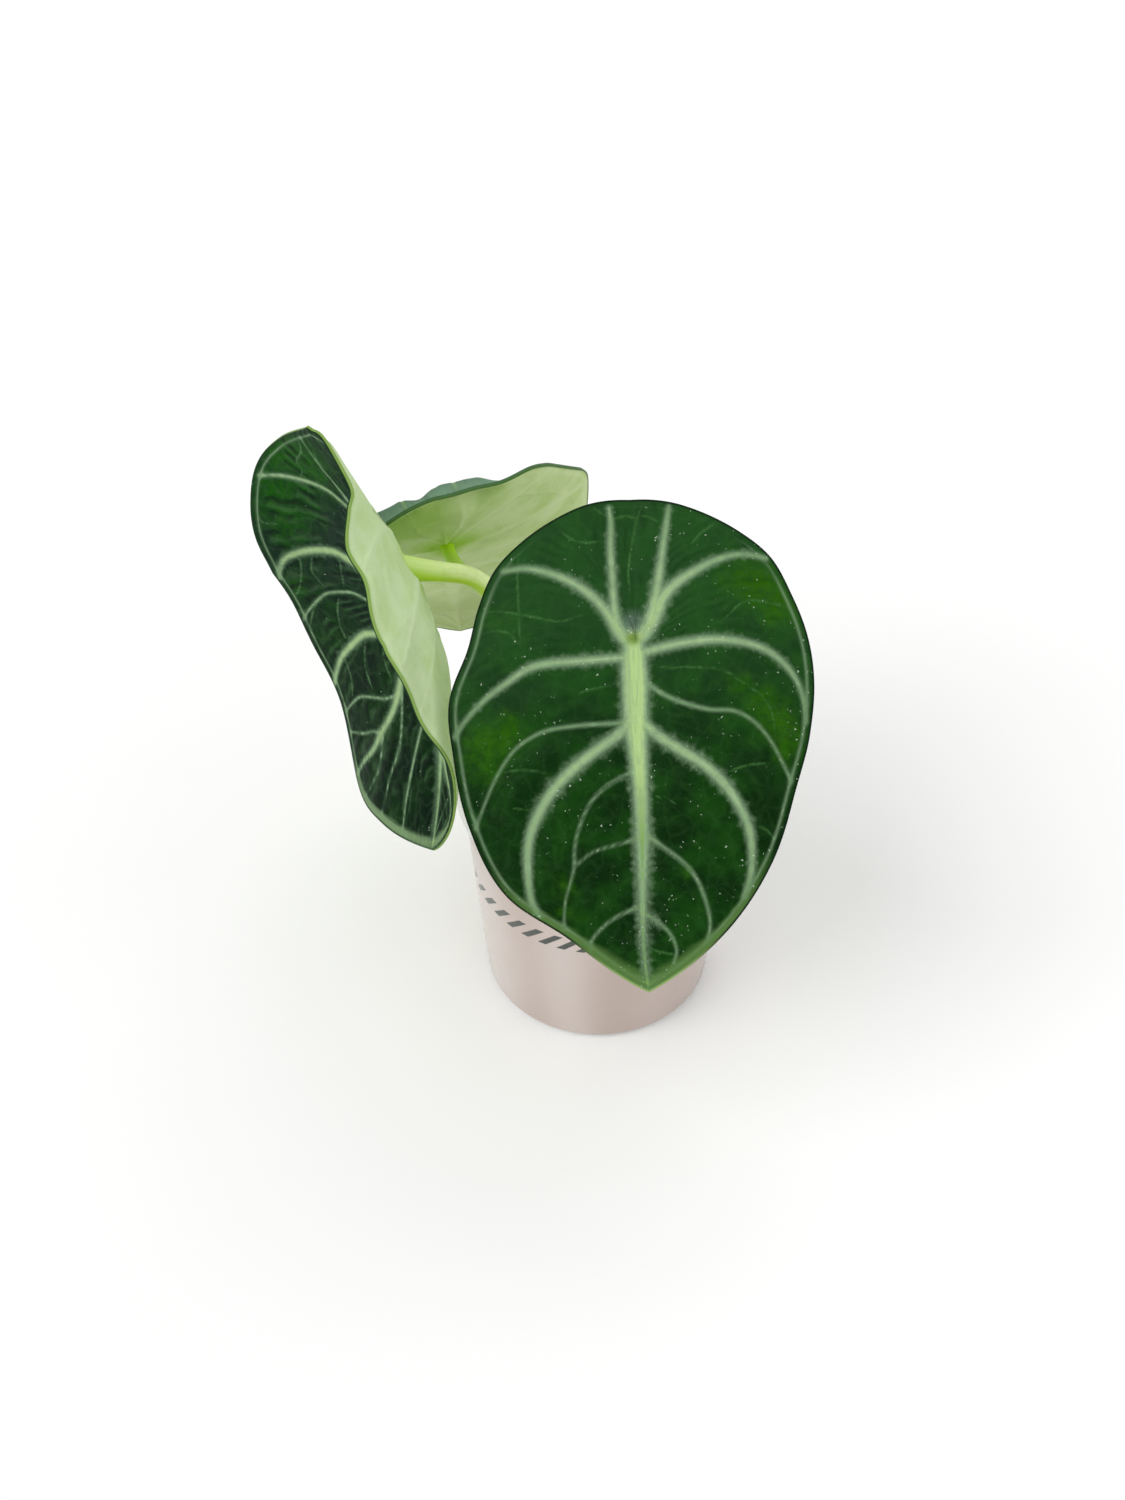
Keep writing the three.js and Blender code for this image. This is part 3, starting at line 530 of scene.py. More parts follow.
# The bent blade: the midrib bows as an arc, and each half folds up from it and curls as a second arc. The
# result is the point and its upward normal, in the part's frame.
def bentPoint(leaf, half, x, y, height=0.0):
    bow = np.where(y > 0, *leaf["bow"]) / blade["reach"]
    bow = np.where(bow == 0, 1e-6, bow)
    turn, share = bow * y, y / blade["reach"]
    fold, foldTip, foldNotch = half["fold"]
    fold = fold + np.where(y > 0, foldTip * share, -foldNotch * share)
    curl = (half["curl"][0] + half["curl"][1] * share) / blade["halfWidth"]
    curl = np.where(np.abs(curl) < 1e-6, 1e-6, curl)
    root = np.hypot(x, blade["creaseRadius"])
    along, weight = root - blade["creaseRadius"], x / root
    angle = fold + curl * along
    across = (np.sin(angle) - np.sin(fold)) / curl + x - along
    lift = (np.cos(fold) - np.cos(angle)) / curl
    slope = np.arctan2(np.sin(angle) * weight, np.cos(angle) * weight + 1 - weight)
    side, sine, cosine = half["side"], np.sin(turn), np.cos(turn)
    point = [side * across, sine * lift - sine / bow, (1 - cosine) / bow + cosine * lift]
    normal = [-side * np.sin(slope), sine * np.cos(slope), cosine * np.cos(slope)]
    local = np.stack(point, -1) + np.stack(normal, -1) * np.asarray(height)[..., None]
    return np.array(leaf["hub"]) + local @ leafAxes(leaf)


# The blade's own axes as rows: across to the right, to the notch end, and up from its face
def leafAxes(leaf):
    facing = unit(leaf["facing"])
    notchward = -unit(leaf["tipward"])
    notchward = unit(notchward - notchward @ facing * facing)
    return np.stack([np.cross(notchward, facing), notchward, facing])


def veinRows(rows):  # the numbers of the rows that carry a vein, and of the first and last row
    return np.array([k for k, row in enumerate(rows) if row[3] > 0 or k in (0, len(rows) - 1)])


# How far t lies from the nearest vein rows: 0 on a vein, 1 half way between two veins
def betweenVeins(rows, t):
    marks = veinRows(rows)
    upper = np.clip(np.searchsorted(marks, t, side="left"), 1, len(marks) - 1)
    low, high = marks[upper - 1], marks[upper]
    return np.sin(math.pi * np.clip((t - low) / (high - low), 0, 1))


# Height of the upper face over the bent sheet: quilting between the veins (half from the rows, half from the
# distance to the veins), a ruffle along the margin and, on the back leaf, a margin that rolls over
def upperHeight(leaf, half, t, q, degrees, edge):
    puff = 0.45 * betweenVeins(half["rows"], t) + 0.55 * (1 - bell(np.maximum(edge, 0), 0, 2.4))
    quilting = leaf["quilt"] * puff * np.minimum(1, 5 * q) * np.sqrt(1 - q)
    ripple = np.sin(np.radians(degrees) * (9 if half["side"] > 0 else 7))
    ruffle = leaf["ruffle"] * q ** 4 * ripple * np.minimum(1, (180 - degrees) / 20)
    if not leaf["rollHeight"]:
        return quilting + ruffle
    roll = blade["roll"]
    dip = 1 - roll["dipShare"] * bell(180 - degrees - half["side"] * roll["beside"], 0, roll["dipWidth"])
    rolled = dip * rise(degrees, half["rollFrom"] - roll["start"], half["rollFrom"] + roll["start"])
    crest = bell(q, roll["place"], roll["width"]) * rise(1 - q, 0, roll["width"])
    return quilting + ruffle + leaf["rollHeight"] * rolled * crest


# Nearest point of a polyline to each flat point: the distance, the way along and the half width there
def toLine(x, y, line):
    start, step = line["points"][:-1], np.diff(line["points"], axis=0)
    length = np.hypot(step[:, 0], step[:, 1])
    dx, dy = x[:, None] - start[:, 0], y[:, None] - start[:, 1]
    share = np.clip((dx * step[:, 0] + dy * step[:, 1]) / length ** 2, 0, 1)
    away = np.hypot(dx - share * step[:, 0], dy - share * step[:, 1])
    best = away.argmin(1)
    pick = np.arange(len(x))
    share = share[pick, best]
    width = line["width"][:-1][best] * (1 - share) + line["width"][1:][best] * share
    along = (np.cumsum(length) - length)[best] + share * length[best]
    return away[pick, best], along, width


def smoothLine(drawn):  # a smooth curve through drawn points, six steps for each point
    drawn = np.array(drawn, float)
    t = np.linspace(0, len(drawn) - 1, 6 * len(drawn))
    return np.stack([through(column, t) for column in drawn.T], -1)


def veinLine(points, width=None):  # a fine vein's half width falls below 0, to fade at both ends
    if width is None:
        width = blade["twigHalfWidth"] - 0.4 * np.linspace(-1, 1, len(points)) ** 6
    return {"points": points, "width": width}


# The leaf's veins as flat polylines with their half widths: the drawn ones, the midrib, the vein rows, and
# the fine ones
def leafVeins(leaf, starts, seed):
    rng = np.random.default_rng(seed)
    main, twigs = [], []
    for curve in map(smoothLine, leaf["veins"]):
        main.append(veinLine(curve[:, :2], np.maximum(curve[:, 2] - 0.06, 0.05)))
    if leaf["midrib"]:
        tip = leaf["halves"][0]["radii"][0]
        y = np.linspace(-0.05 * tip, 0.985 * tip, 60)
        upwards = np.clip(1 - y / tip, 0, 1) ** leaf["midribTaper"]
        taper = np.where(y > 0, upwards, np.exp(np.minimum(y, 0) / 1.6))
        main.append(veinLine(np.stack([0 * y, y], -1), leaf["midrib"] * taper + 0.1))
    for half in leaf["halves"]:
        if half["side"] not in leaf["rowSides"]:
            continue

        def flatLine(t, q):
            x, y, _ = flatPoint(half, starts, t, q)
            return np.stack([half["side"] * x, y], -1)

        rows = half["rows"]
        q = np.linspace(0, 0.99, 46)
        for k, row in enumerate(rows):
            if row[3] > 0:
                main.append(veinLine(flatLine(float(k), q), row[3] * (1.1 - 0.6 * q ** 0.8)))
        marks = veinRows(rows)
        u = np.linspace(0, 1, 12)
        for low, high in zip(marks[:-1], marks[1:]):
            for n in range(leaf["links"]):
                if rng.uniform() < 0.3:
                    continue
                middle = 0.22 + 0.7 * (n + rng.uniform(0.1, 0.9)) / leaf["links"]
                lean = rng.uniform(-0.12, 0.12) * (u - 0.5)
                place = middle + lean + rng.uniform(-0.05, 0.05) * np.sin(math.pi * u)
                twigs.append(veinLine(flatLine(low + (high - low) * u, np.clip(place, 0.05, 0.95))))
    return main, twigs + [veinLine(smoothLine(drawn)) for drawn in leaf["twigs"]]


# For each flat point: millimetres to the veins' edge, the way along the nearest vein, its half width, and
# millimetres to the edge of the nearest fine vein and to the margin. The vein edge is a soft minimum over all
# veins and the collecting vein, minus a small length times the log of a sum of exponentials, which webs the
# joints.
def veinFields(leaf, main, twigs, x, y):
    margin = np.full(len(x), 99.0)
    for half in leaf["halves"]:
        edgeX, edgeY = outlinePoint(half, np.linspace(0, 180, 361))
        outline = veinLine(np.stack([half["side"] * edgeX, edgeY], -1))
        margin = np.minimum(margin, toLine(x, y, outline)[0])
    nearest = np.abs(margin - blade["collectorPlace"]) - blade["collectorHalfWidth"]
    nearest = nearest + leaf["edgeLineFade"] * rise(-y, 6, 18)
    fields = {"marginEdge": margin, "veinAlong": np.hypot(x, y), "veinSize": np.full(len(x), 0.12)}
    web = blade["webbing"]
    total = np.exp(-np.minimum(nearest, 9) / web)
    for k, line in enumerate(main):
        away, along, width = toLine(x, y, line)
        edge = away - width
        total += np.exp(-np.minimum(edge, 9) / web)
        fields["veinAlong"] = np.where(edge < nearest, along + 60 * k, fields["veinAlong"])
        fields["veinSize"] = np.where(edge < nearest, width, fields["veinSize"])
        nearest = np.minimum(edge, nearest)
    fields["veinEdge"] = -web * np.log(total)
    fields["twigEdge"] = np.full(len(x), 9.0)
    for line in twigs:
        away, _, width = toLine(x, y, line)
        fields["twigEdge"] = np.minimum(fields["twigEdge"], away - width)
    # the bright spots: painted glow of light shining through the tissue, kept as the glow attribute
    glow = np.zeros(len(x))
    for spotX, spotY, radius, strength in leaf["bright"]:
        glow = glow + (1 - glow) * strength * np.exp(-((x - spotX) ** 2 + (y - spotY) ** 2) / radius ** 2)
    fields["glow"] = glow
    return fields


# How thick the blade is: a sheet that thins to the margin, with the midrib, the ribs under the veins and low
# ridges under the fine veins
def bladeDepth(q, y, found, quiet):
    inward = np.clip(1 - np.abs(y) / np.where(y > 0, blade["reach"], blade["notchReach"]), 0, 1)
    sheet = blade["thickness"] + (blade["marginThickness"] - blade["thickness"]) * q
    rib = blade["midribDepth"] * inward * bell(q, 0, 0.07) * (0.2 + 0.8 * rise(np.abs(y), 1, 5))
    size = np.minimum(found["veinSize"], 1)
    rib += blade["ribDepth"] * size * rise(-found["veinEdge"], -0.9, 0.5) * np.minimum(1, q / 0.07) * (1 - q)
    return sheet + rib + 0.1 * bell(found["twigEdge"], 0, 0.35) * quiet


# A blade as one closed thin solid. On each half a fine upper grid and a coarser lower grid share their rows
# along the margin, where a narrow wall joins them. Under the veins the lower face stands out as ribs.
def makeBlade(name, leaf, material, seed):
    starts = np.mean([[row[0] for row in half["rows"]] for half in leaf["halves"]], axis=0)
    rowCount = (len(starts) - 1) * blade["rowSteps"] + 1
    main, twigs = leafVeins(leaf, starts, seed)
    points, faces, flats, fields, first = [], [], [], [], 0
    for half in leaf["halves"]:
        left = half["side"] < 0
        rims = []
        for lower, columns in ((False, blade["upperColumns"]), (True, blade["underColumns"])):
            spread = np.linspace(0, 1, columns)
            spread = 0.75 * spread + 0.25 * (1 - (1 - spread) ** 2)  # closer together towards the margin
            rows = np.arange(rowCount) / blade["rowSteps"]
            t, q = [a.ravel() for a in np.meshgrid(rows, spread, indexing="ij")]
            x, y, degrees = flatPoint(half, starts, t, q)
            flat = np.stack([half["side"] * x, y], -1)
            found = veinFields(leaf, main, twigs, *flat.T)
            quiet = rise(found["marginEdge"], 0, 1.2)
            dent = blade["groove"] * rise(-found["veinEdge"], -0.25, 0.35)
            dent = dent + blade["twigGroove"] * bell(found["twigEdge"], 0, 0.3)
            height = upperHeight(leaf, half, t, q, degrees, found["veinEdge"]) - quiet * dent
            if lower:
                height = height - bladeDepth(q, y, found, quiet)
            points.append(bentPoint(leaf, half, x, y, height))
            flats.append(flat / flatScale)
            fields.append({**found, "under": np.full(len(x), float(lower)), "rowPlace": t})
            faces.append(gridFaces(rowCount, columns, first, flip=left != lower))
            rims.append(first + np.arange(rowCount) * columns + columns - 1)
            first += len(x)
        upper, under = rims
        wall = np.concatenate([np.stack([upper[:-1], under[:-1], under[1:]], -1),
                               np.stack([upper[:-1], under[1:], upper[1:]], -1)])
        faces.append(wall[:, ::-1] if left else wall)
    values = {key: np.concatenate([found[key] for found in fields]) for key in fields[0]}
    return addPiece("leaf_" + name, np.concatenate(points), np.concatenate(faces), ["blade_" + name],
                    material, values, np.concatenate(flats))


# Vein marks, from the distances kept on the mesh: the vein itself, its bright middle, the fine fibres that
# run out from it at right angles, the fine veins, where the vein is thick, the pale band at the tip, the rim
def makeVeinMarks(given):
    tree = given.tree
    edge, size, along = read(tree, "veinEdge"), read(tree, "veinSize"), read(tree, "veinAlong")
    margin, flat = read(tree, "marginEdge"), flatPlace(tree)
    tipward, fromRib = split(flat)[1], calc("ABSOLUTE", split(flat)[0])
    clump = noise(joined(along * 0.8, edge * 0.2), 1.0, 1.0)
    slant = edge * -0.9 + (clump * 1.6 + along)
    hair = noise(joined(slant * given["Fibre Count"], edge * 1.1), 1.0, 4.0, 0.65)
    thick = ramp(size, 0.1, 0.6)
    wobbly = edge + (hair + clump - 1.0) * 0.5
    lost = ramp(margin, 1.7, 1.3) * ramp(tipward, 36.0, 46.0, 0.7)  # the collecting vein, near the tip
    core = ramp(wobbly, thick * 0.16 + 0.12, thick * -0.4 - 0.1) * (thick * 0.3 + 0.7) * (1.0 - lost)
    heart = ramp(wobbly, thick * -0.2 - 0.02, thick * -0.7 - 0.2)
    heart = heart * calc("MAXIMUM", ramp(fromRib, 1.6, 0.8), thick * 0.55)
    ribEnd = ramp(fromRib, 2.8, 1.4) * ramp(tipward, 18.0, 38.0, 0.55)
    length = given["Fibre Length"] * (calc("MINIMUM", size, 0.7) + (ribEnd + 0.2))
    soft = ramp(edge, calc("MAXIMUM", length * (clump * 2.4 - 0.2), 0.1), -0.25)
    halo = ramp(edge, length * 0.6 + 0.25, -0.25) * 0.6
    streak = ramp(hair, 0.34, 0.68) * 0.6 + 0.4
    fibres = calc("MINIMUM", calc("MAXIMUM", soft * streak, halo), 1.0)
    bent = (noise(flat, 1.6) - 0.5) * 0.5 + read(tree, "twigEdge")
    twigs = ramp(bent, 0.22, -0.1) * (ramp(noise(flat, 0.5), 0.3, 0.62) * 0.7 + 0.25)
    inner = clump * 1.2 + (ramp(tipward, 42.0, 52.0, 1.6) + 1.3)
    band = ramp(margin, inner, inner * 0.3) * ramp(tipward, 32.0, 43.0)
    return core, heart, fibres, twigs, thick, band, ramp(margin, 0.5, 0.1)


veinGroup = newGroup("veinMarks", {"Fibre Length": 1.25, "Fibre Count": 3.0},
                     ["Core", "Heart", "Fibres", "Twigs", "Thick", "TipBand", "Rim"], makeVeinMarks)

# The looks of the front, left and back leaf: screen colours, then how strong each effect is
leafLooks = {
    "dark": [(2, 32, 4), (4, 24, 12), (12, 36, 24)],
    "middle": [(16, 60, 8), (14, 46, 14), (22, 58, 28)],
    "bright": [(38, 88, 0), (20, 80, 0), (44, 100, 18)],
    "cool": [(40, 84, 38), (24, 44, 38), (30, 56, 46)],
    "vein": [(136, 166, 124), (156, 186, 132), (144, 174, 126)],
    "heart": [(172, 202, 134), (172, 204, 130), (158, 190, 118)],
    "heartTip": [(118, 156, 82), (156, 188, 126), (130, 166, 96)],
    "fibre": [(124, 152, 118), (104, 136, 102), (92, 124, 92)],
    "thin": [(100, 136, 92), (138, 170, 128), (108, 142, 100)],
    "twig": [(60, 104, 52), (88, 126, 84), (74, 112, 76)],
    "tipBand": [(86, 122, 62), (128, 158, 112), (104, 142, 84)],
    # the back leaf's rim is lightened with a painted sheen on its rolled margin; the others keep the rim's
    # own dark colour
    "rim": [(10, 32, 14), (26, 56, 30), (70, 104, 70)],
    "tipRim": [(140, 168, 104), (96, 130, 92), (96, 130, 92)],
    "under": [(188, 210, 152), (196, 218, 168), (198, 216, 160)],
    "underDeep": [(168, 194, 126), (184, 209, 148), (178, 202, 130)],
    "underVein": [(198, 216, 166), (202, 222, 176), (206, 222, 170)],
    "flare": [(165, 204, 50), (186, 220, 90), (150, 194, 0)],
    "underRim": [(150, 182, 90), (132, 164, 84), (76, 112, 60)],
    "marginHaze": [0.0, 0.0, 0.95],
    "pleats": [0.45, 1.6, 0.5],
    "specks": [0.8, 0.2, 0.3],
    "sinus": [0.3, 0.15, 0.75],
    "tipShade": [0.2, 0.0, 0.8],
    "flareGlow": [0.8, 0.6, 0.8],
}


def spot(place, x, y, radius, strength=1.0):  # a soft spot on the flat blade
    away = space("DISTANCE", place, (x, y, 0), out="Value")
    return ramp(away, radius, 0.1 * radius, strength)


# A blade's look. The upper face is dark tissue with bright patches, painted glow of light through the leaf,
# a painted sheen towards the stalk and along the margin by the notch, a faint net, pleats with painted shade
# and light along them, hairs beside the veins, the veins with their lighter middle, and dust. The underside
# is pale flesh that glows at the stalk.
def leafPaint(tree, look):
    place = flatPlace(tree)
    tipward, vein, margin = split(place)[1], read(tree, "veinEdge"), read(tree, "marginEdge")
    veins, grain = useGroup(tree, veinGroup, {}), grainOf(place, 2.6, 0.13)
    under = ramp(read(tree, "under"), 0.25, 0.55)
    cells = {"Vector": shaken(place, 0.5, 1.0, 2.4), "Scale": 0.34}
    net = ramp(put(tree, "ShaderNodeTexVoronoi", cells, "Distance", feature="DISTANCE_TO_EDGE"), 0.0, 0.16)
    threads = noise(joined(read(tree, "veinAlong") * 0.25, vein * 3.0), 1.0)
    phase = read(tree, "rowPlace") * (2.6 * fullTurn) + noise(place, 0.22) * 7.0
    pleat = calc("SINE", phase) * ramp(noise(place, 0.2, 1.0), 0.38, 0.66)
    mottle = noise(place, 0.75, 3.0, 0.6)
    glowPatch = ramp(noise(place, 0.42, 4.0, 0.6) * 1.3 + read(tree, "glow"), 0.62, 1.75)
    line = layered(look["thin"], [
        (veins["Thick"], look["vein"]),
        (ramp(threads, 0.46, 0.3, 0.5), look["fibre"]),
        (ramp(threads, 0.52, 0.7, 0.6), tint(156, 184, 144)),
    ])
    dust = specksOf(shaken(place, 3.0, 2.0, 0.7), 0.8, 0.12, look["specks"])
    upperFace = layered(look["dark"], [
        (ramp(grain["Broad"], 0.36, 0.64), look["middle"]),
        (ramp(grain["Fine"], 0.35, 0.75, 0.4), look["middle"]),
        (ramp(mottle, 0.5, 0.72, 0.35), look["dark"]),
        # lighter and bluer towards the stalk end: a painted sheen
        (ramp(tipward, 26.0, -12.0, 0.5), look["cool"]),
        # bright yellow green patches: painted glow of light through the leaf
        (glowPatch * (ramp(mottle, 0.42, 0.62) * -0.4 + 1.0), look["bright"]),
        # a pale grey green band along the margin near the notch: painted sheen on the rolled margin
        (ramp(margin, 5.0, 1.0) * ramp(tipward, -6.0, -15.0, look["marginHaze"]), tint(116, 150, 122)),
        ((1.0 - net) * 0.07, look["twig"]),
        # dark and lighter bands along the pleats: painted shade and light of the creases
        (ramp(pleat, 0.1, 1.0, 0.45 * look["pleats"]), look["dark"]),
        (ramp(pleat, -0.1, -1.0, 0.12 * look["pleats"]), look["twig"]),
        # a bluish grey spot below the joint: more of the painted sheen
        (spot(place, -0.2, -3.1, 3.2, 0.8), tint(92, 114, 98)),
        (veins["Twigs"] * 0.75, look["twig"]),
        (veins["Fibres"] * 0.85, look["fibre"]),
        (veins["TipBand"] * 0.85, look["tipBand"]),
        (veins["Core"], line),
        (veins["Heart"] * (ramp(threads, 0.3, 0.55) * 0.4 + 0.6),
         layered(look["heart"], [(ramp(tipward, 16.0, 34.0), look["heartTip"])])),
        (spot(place, -0.4, -1.0, 1.7, 0.85), tint(104, 136, 44)),
        (veins["Rim"], layered(look["rim"], [(ramp(tipward, 44.0, 52.0), look["tipRim"])])),
        (dust * (ramp(noise(place, 0.14), 0.45, 0.58) * 0.75), tint(196, 210, 190)),
    ])
    atStalk = ramp(space("LENGTH", place, out="Value"), 8.5, 1.5, look["flareGlow"])
    lowerFace = layered(look["under"], [
        (ramp(grain["Broad"], 0.35, 0.68), look["underDeep"]),
        ((1.0 - net) * 0.12, look["underVein"]),
        (veins["Twigs"] * 0.5, look["underVein"]),
        (ramp(vein, 0.9, -0.3, 0.6), look["underVein"]),
        (spot(place, 4, -12, 11, look["sinus"]), tint(146, 182, 74)),
        (ramp(tipward, 24.0, 40.0, look["tipShade"]), tint(160, 180, 118)),
        (atStalk * (ramp(vein, 1.6, 0.0) * 0.1 + 0.9), look["flare"]),
        (ramp(margin, 0.5, 0.1), look["underRim"]),
        (specksOf(place, 3.6, 0.2, 0.1) * 0.8, tint(74, 66, 40)),
    ])
    roughness = mixValue(under, grain["Fine"] * 0.2 + 0.36, grain["Fine"] * 0.15 + 0.46)
    relief = mottle * 0.8 + (grain["Fine"] * 0.25 + net * 0.12)
    pleats = (1.0 - under) * (pleat * (0.5 * look["pleats"]))
    height = relief + (veins["Fibres"] * 0.25 + pleats)
    return layered(upperFace, [(under, lowerFace)]), roughness, height


for order, (name, leaf) in enumerate(leaves.items()):
    look = {key: row[order] for key, row in leafLooks.items()}
    look.update({key: tint(*one) for key, one in look.items() if isinstance(one, tuple)})
    tissue = newMaterial("leaf" + name.capitalize(), lambda tree: leafPaint(tree, look), 0.16, 0.05)
    makeBlade(name, leaf, tissue, order + 3)
print("leaves done")

# Leaf stalks: round, fleshy and tapering, with a sheath at the foot and a flare under the blade
stalk = {
    "ring": 3.7,
    "sink": 4,
    "crownTop": 47.5,
    "topRadius": 1.75,
    "footRadius": 2.5,
    "sheathRadius": 0.7,
    "sheathEnd": 0.22,
    "flareFrom": 0.86,
    "sides": 40,
    "steps": 150,
}


# Centripetal Catmull-Rom curve through the points, walked at even steps of its length
def smoothRoute(points, steps):
    points = np.asarray(points, float)
    points = np.concatenate([[2 * points[0] - points[1]], points, [2 * points[-1] - points[-2]]])
    knots = np.linalg.norm(np.diff(points, axis=0), axis=1) ** 0.5
    u = np.linspace(0, 1, 40)[:, None]
    walked = []
    for k in range(1, len(points) - 2):
        p0, p1, p2, p3 = points[k - 1:k + 3]
        d0, d1, d2 = knots[k - 1:k + 2]
        m1 = d1 * ((p1 - p0) / d0 - (p2 - p0) / (d0 + d1) + (p2 - p1) / d1)
        m2 = d1 * ((p2 - p1) / d1 - (p3 - p1) / (d1 + d2) + (p3 - p2) / d2)
        part = p1 + m1 * u + (3 * (p2 - p1) - 2 * m1 - m2) * u ** 2 + (2 * (p1 - p2) + m1 + m2) * u ** 3
        walked.append(part if k == len(points) - 3 else part[:-1])
    walked = np.concatenate(walked)
    length = np.concatenate([[0], np.cumsum(np.linalg.norm(np.diff(walked, axis=0), axis=1))])
    even = np.linspace(0, length[-1], steps)
    return np.stack([np.interp(even, length, walked[:, k]) for k in range(3)], -1), length[-1]


# A ring is carried along the route at right angles to it. Over the last stretch it is drawn out to an oval
# that lies inside the blade, so that the stalk spreads into the underside and the midrib.
def makeStalk(name, leaf, material):
    angle = math.radians(leaf["stalkBase"])
    x, y = stalk["ring"] * math.cos(angle), stalk["ring"] * math.sin(angle)
    hub, facing = np.array(leaf["hub"], float), unit(leaf["facing"])
    foot = [(x, y, stalk["crownTop"] - stalk["sink"]), (x, y, stalk["crownTop"] + 1)]
    centre, length = smoothRoute([*foot, *leaf["stalkRoute"], hub - 0.6 * facing], stalk["steps"])
    s = np.linspace(0, 1, stalk["steps"])[:, None]
    tangent = unit(np.gradient(centre, axis=0))
    beside = unit(np.cross(hub - centre[0], (0, 0, 1)))
    beside = unit(beside - (tangent @ beside)[:, None] * tangent)
    above = np.cross(beside, tangent)
    a = around(stalk["sides"])[None, :]
    radius = stalk["topRadius"] + (stalk["footRadius"] - stalk["topRadius"]) * np.exp(-4 * s)
    sheath = stalk["sheathRadius"] * (1 - rise(s, 0.5 * stalk["sheathEnd"], stalk["sheathEnd"]))
    radius = radius + sheath * (0.55 + 0.45 * np.cos(a)) - 0.05 * np.cos(5 * a) * (1 - s)
    radius = radius * (1 - leaf["stalkSlim"] * rise(s, 0.55, 0.85))
    radius = radius + 0.25 * rise(s, stalk["flareFrom"] - 0.1, 1)
    spoke = np.cos(a)[..., None] * above[:, None, :] + np.sin(a)[..., None] * beside[:, None, :]
    ring = centre[:, None, :] + radius[..., None] * spoke
    axes = leafAxes(leaf)
    right, tipward = spoke @ axes[0], -(spoke @ axes[1])
    scale = np.hypot(right, tipward)
    flatX, flatY = leaf["flare"][0] * right / scale, leaf["flare"][1] * tipward / scale
    depth = np.full(flatX.shape, -0.55)
    ovals = [bentPoint(leaf, half, np.abs(flatX), flatY, depth) for half in leaf["halves"]]
    oval = np.where((flatX < 0)[..., None], ovals[0], ovals[1])
    turned = rise(s, stalk["flareFrom"], 1.0)[..., None] ** 1.3
    ring = ring * (1 - turned) + oval * turned
    rows, sides = stalk["steps"], stalk["sides"]
    points = np.concatenate([ring.reshape(-1, 3), [centre[0], centre[-1]]])
    faces = [gridFaces(rows, sides, wrap=True, flip=True),
             fanFaces(rows * sides, np.arange(sides)),
             fanFaces(rows * sides + 1, (rows - 1) * sides + np.arange(sides), flip=True)]
    share = np.concatenate([np.repeat(s.ravel(), sides), [0, 1]])
    values = {
        "along": share * length,
        "share": share,
        "tone": np.full(rows * sides + 2, leaf["stalkTone"]),
        "ringX": np.concatenate([np.tile(np.cos(a).ravel(), rows), [0, 0]]),
        "ringY": np.concatenate([np.tile(np.sin(a).ravel(), rows), [0, 0]]),
    }
    return addPiece("stalk_" + name, points, np.concatenate(faces), ["petiole_" + name], material,
                    values)


def stalkPaint(tree):  # pale above and yellow green below, streaked, dull at the foot and vivid at the joint
    ringX, share = read(tree, "ringX"), read(tree, "share")
    ring = joined(ringX * 3.0, read(tree, "ringY") * 3.0, read(tree, "along") * 0.12)
    streaks = noise(ring, 1.6, 3.0, 0.6)
    skin = layered(tint(190, 224, 48), [
        # lighter along the upper side of the stalk: a painted highlight
        (ramp(ringX, 0.15, 0.85), tint(234, 250, 184)),
        (ramp(streaks, 0.4, 0.75, 0.4), tint(206, 232, 120)),
        (ramp(share, 0.34, 0.05) * 0.75, tint(150, 160, 96)),
        (ramp(share, 0.8, 0.95) * read(tree, "tone"), tint(172, 220, 8)),
        (ramp(grainOf(millimetres(tree), 1.8, 0.35)["Broad"], 0.45, 0.75, 0.3), tint(176, 212, 60)),
    ])
    return skin, streaks * 0.2 + 0.26, streaks


stalkSkin = newMaterial("stalkSkin", stalkPaint, 0.12, 0.4)
for name, leaf in leaves.items():
    makeStalk(name, leaf, stalkSkin)
print("stalks done")

# Pot: a tapered plastic cup with a plain band at its rim, and drainage holes round the middle of its floor
pot = {
    "height": 50,
    "baseRadius": 19,
    "wallTopRadius": 22.6,
    "rimRadius": 24.6,
    "rimHeight": 7,
    "wall": 1.4,
    "lip": 2.4,
    "floor": 1.8,
    "edge": 0.8,
    "segments": 144,
    "holes": 6,
    "holeRadius": 2,
    "holeCircle": 11.5,
    "holeSides": 24,
}
rimFoot = pot["height"] - pot["rimHeight"]


def wallRadius(z):  # the wall leans out evenly from the base to the foot of the rim
    return pot["baseRadius"] + (pot["wallTopRadius"] - pot["baseRadius"]) * z / rimFoot


def innerRadius(z):
    return wallRadius(z) - pot["wall"]


# A profile of [radius, height, corner radius] points with each corner rounded: the corner becomes a
# quadratic curve from one tangent point to the other
def roundedProfile(corners, steps=5):
    corners = np.asarray(corners, float)
    places, radii = corners[:, :2], corners[:, 2]
    out = [places[:1]]
    share = np.linspace(0, 1, steps + 1)[:, None]
    for k in range(1, len(places) - 1):
        back, ahead = places[k - 1] - places[k], places[k + 1] - places[k]
        backLength, aheadLength = np.linalg.norm(back), np.linalg.norm(ahead)
        start = places[k] + back / backLength * min(radii[k], 0.48 * backLength)
        end = places[k] + ahead / aheadLength * min(radii[k], 0.48 * aheadLength)
        out.append((1 - share) ** 2 * start + 2 * share * (1 - share) * places[k] + share ** 2 * end)
    out.append(places[-1:])
    return np.concatenate(out)


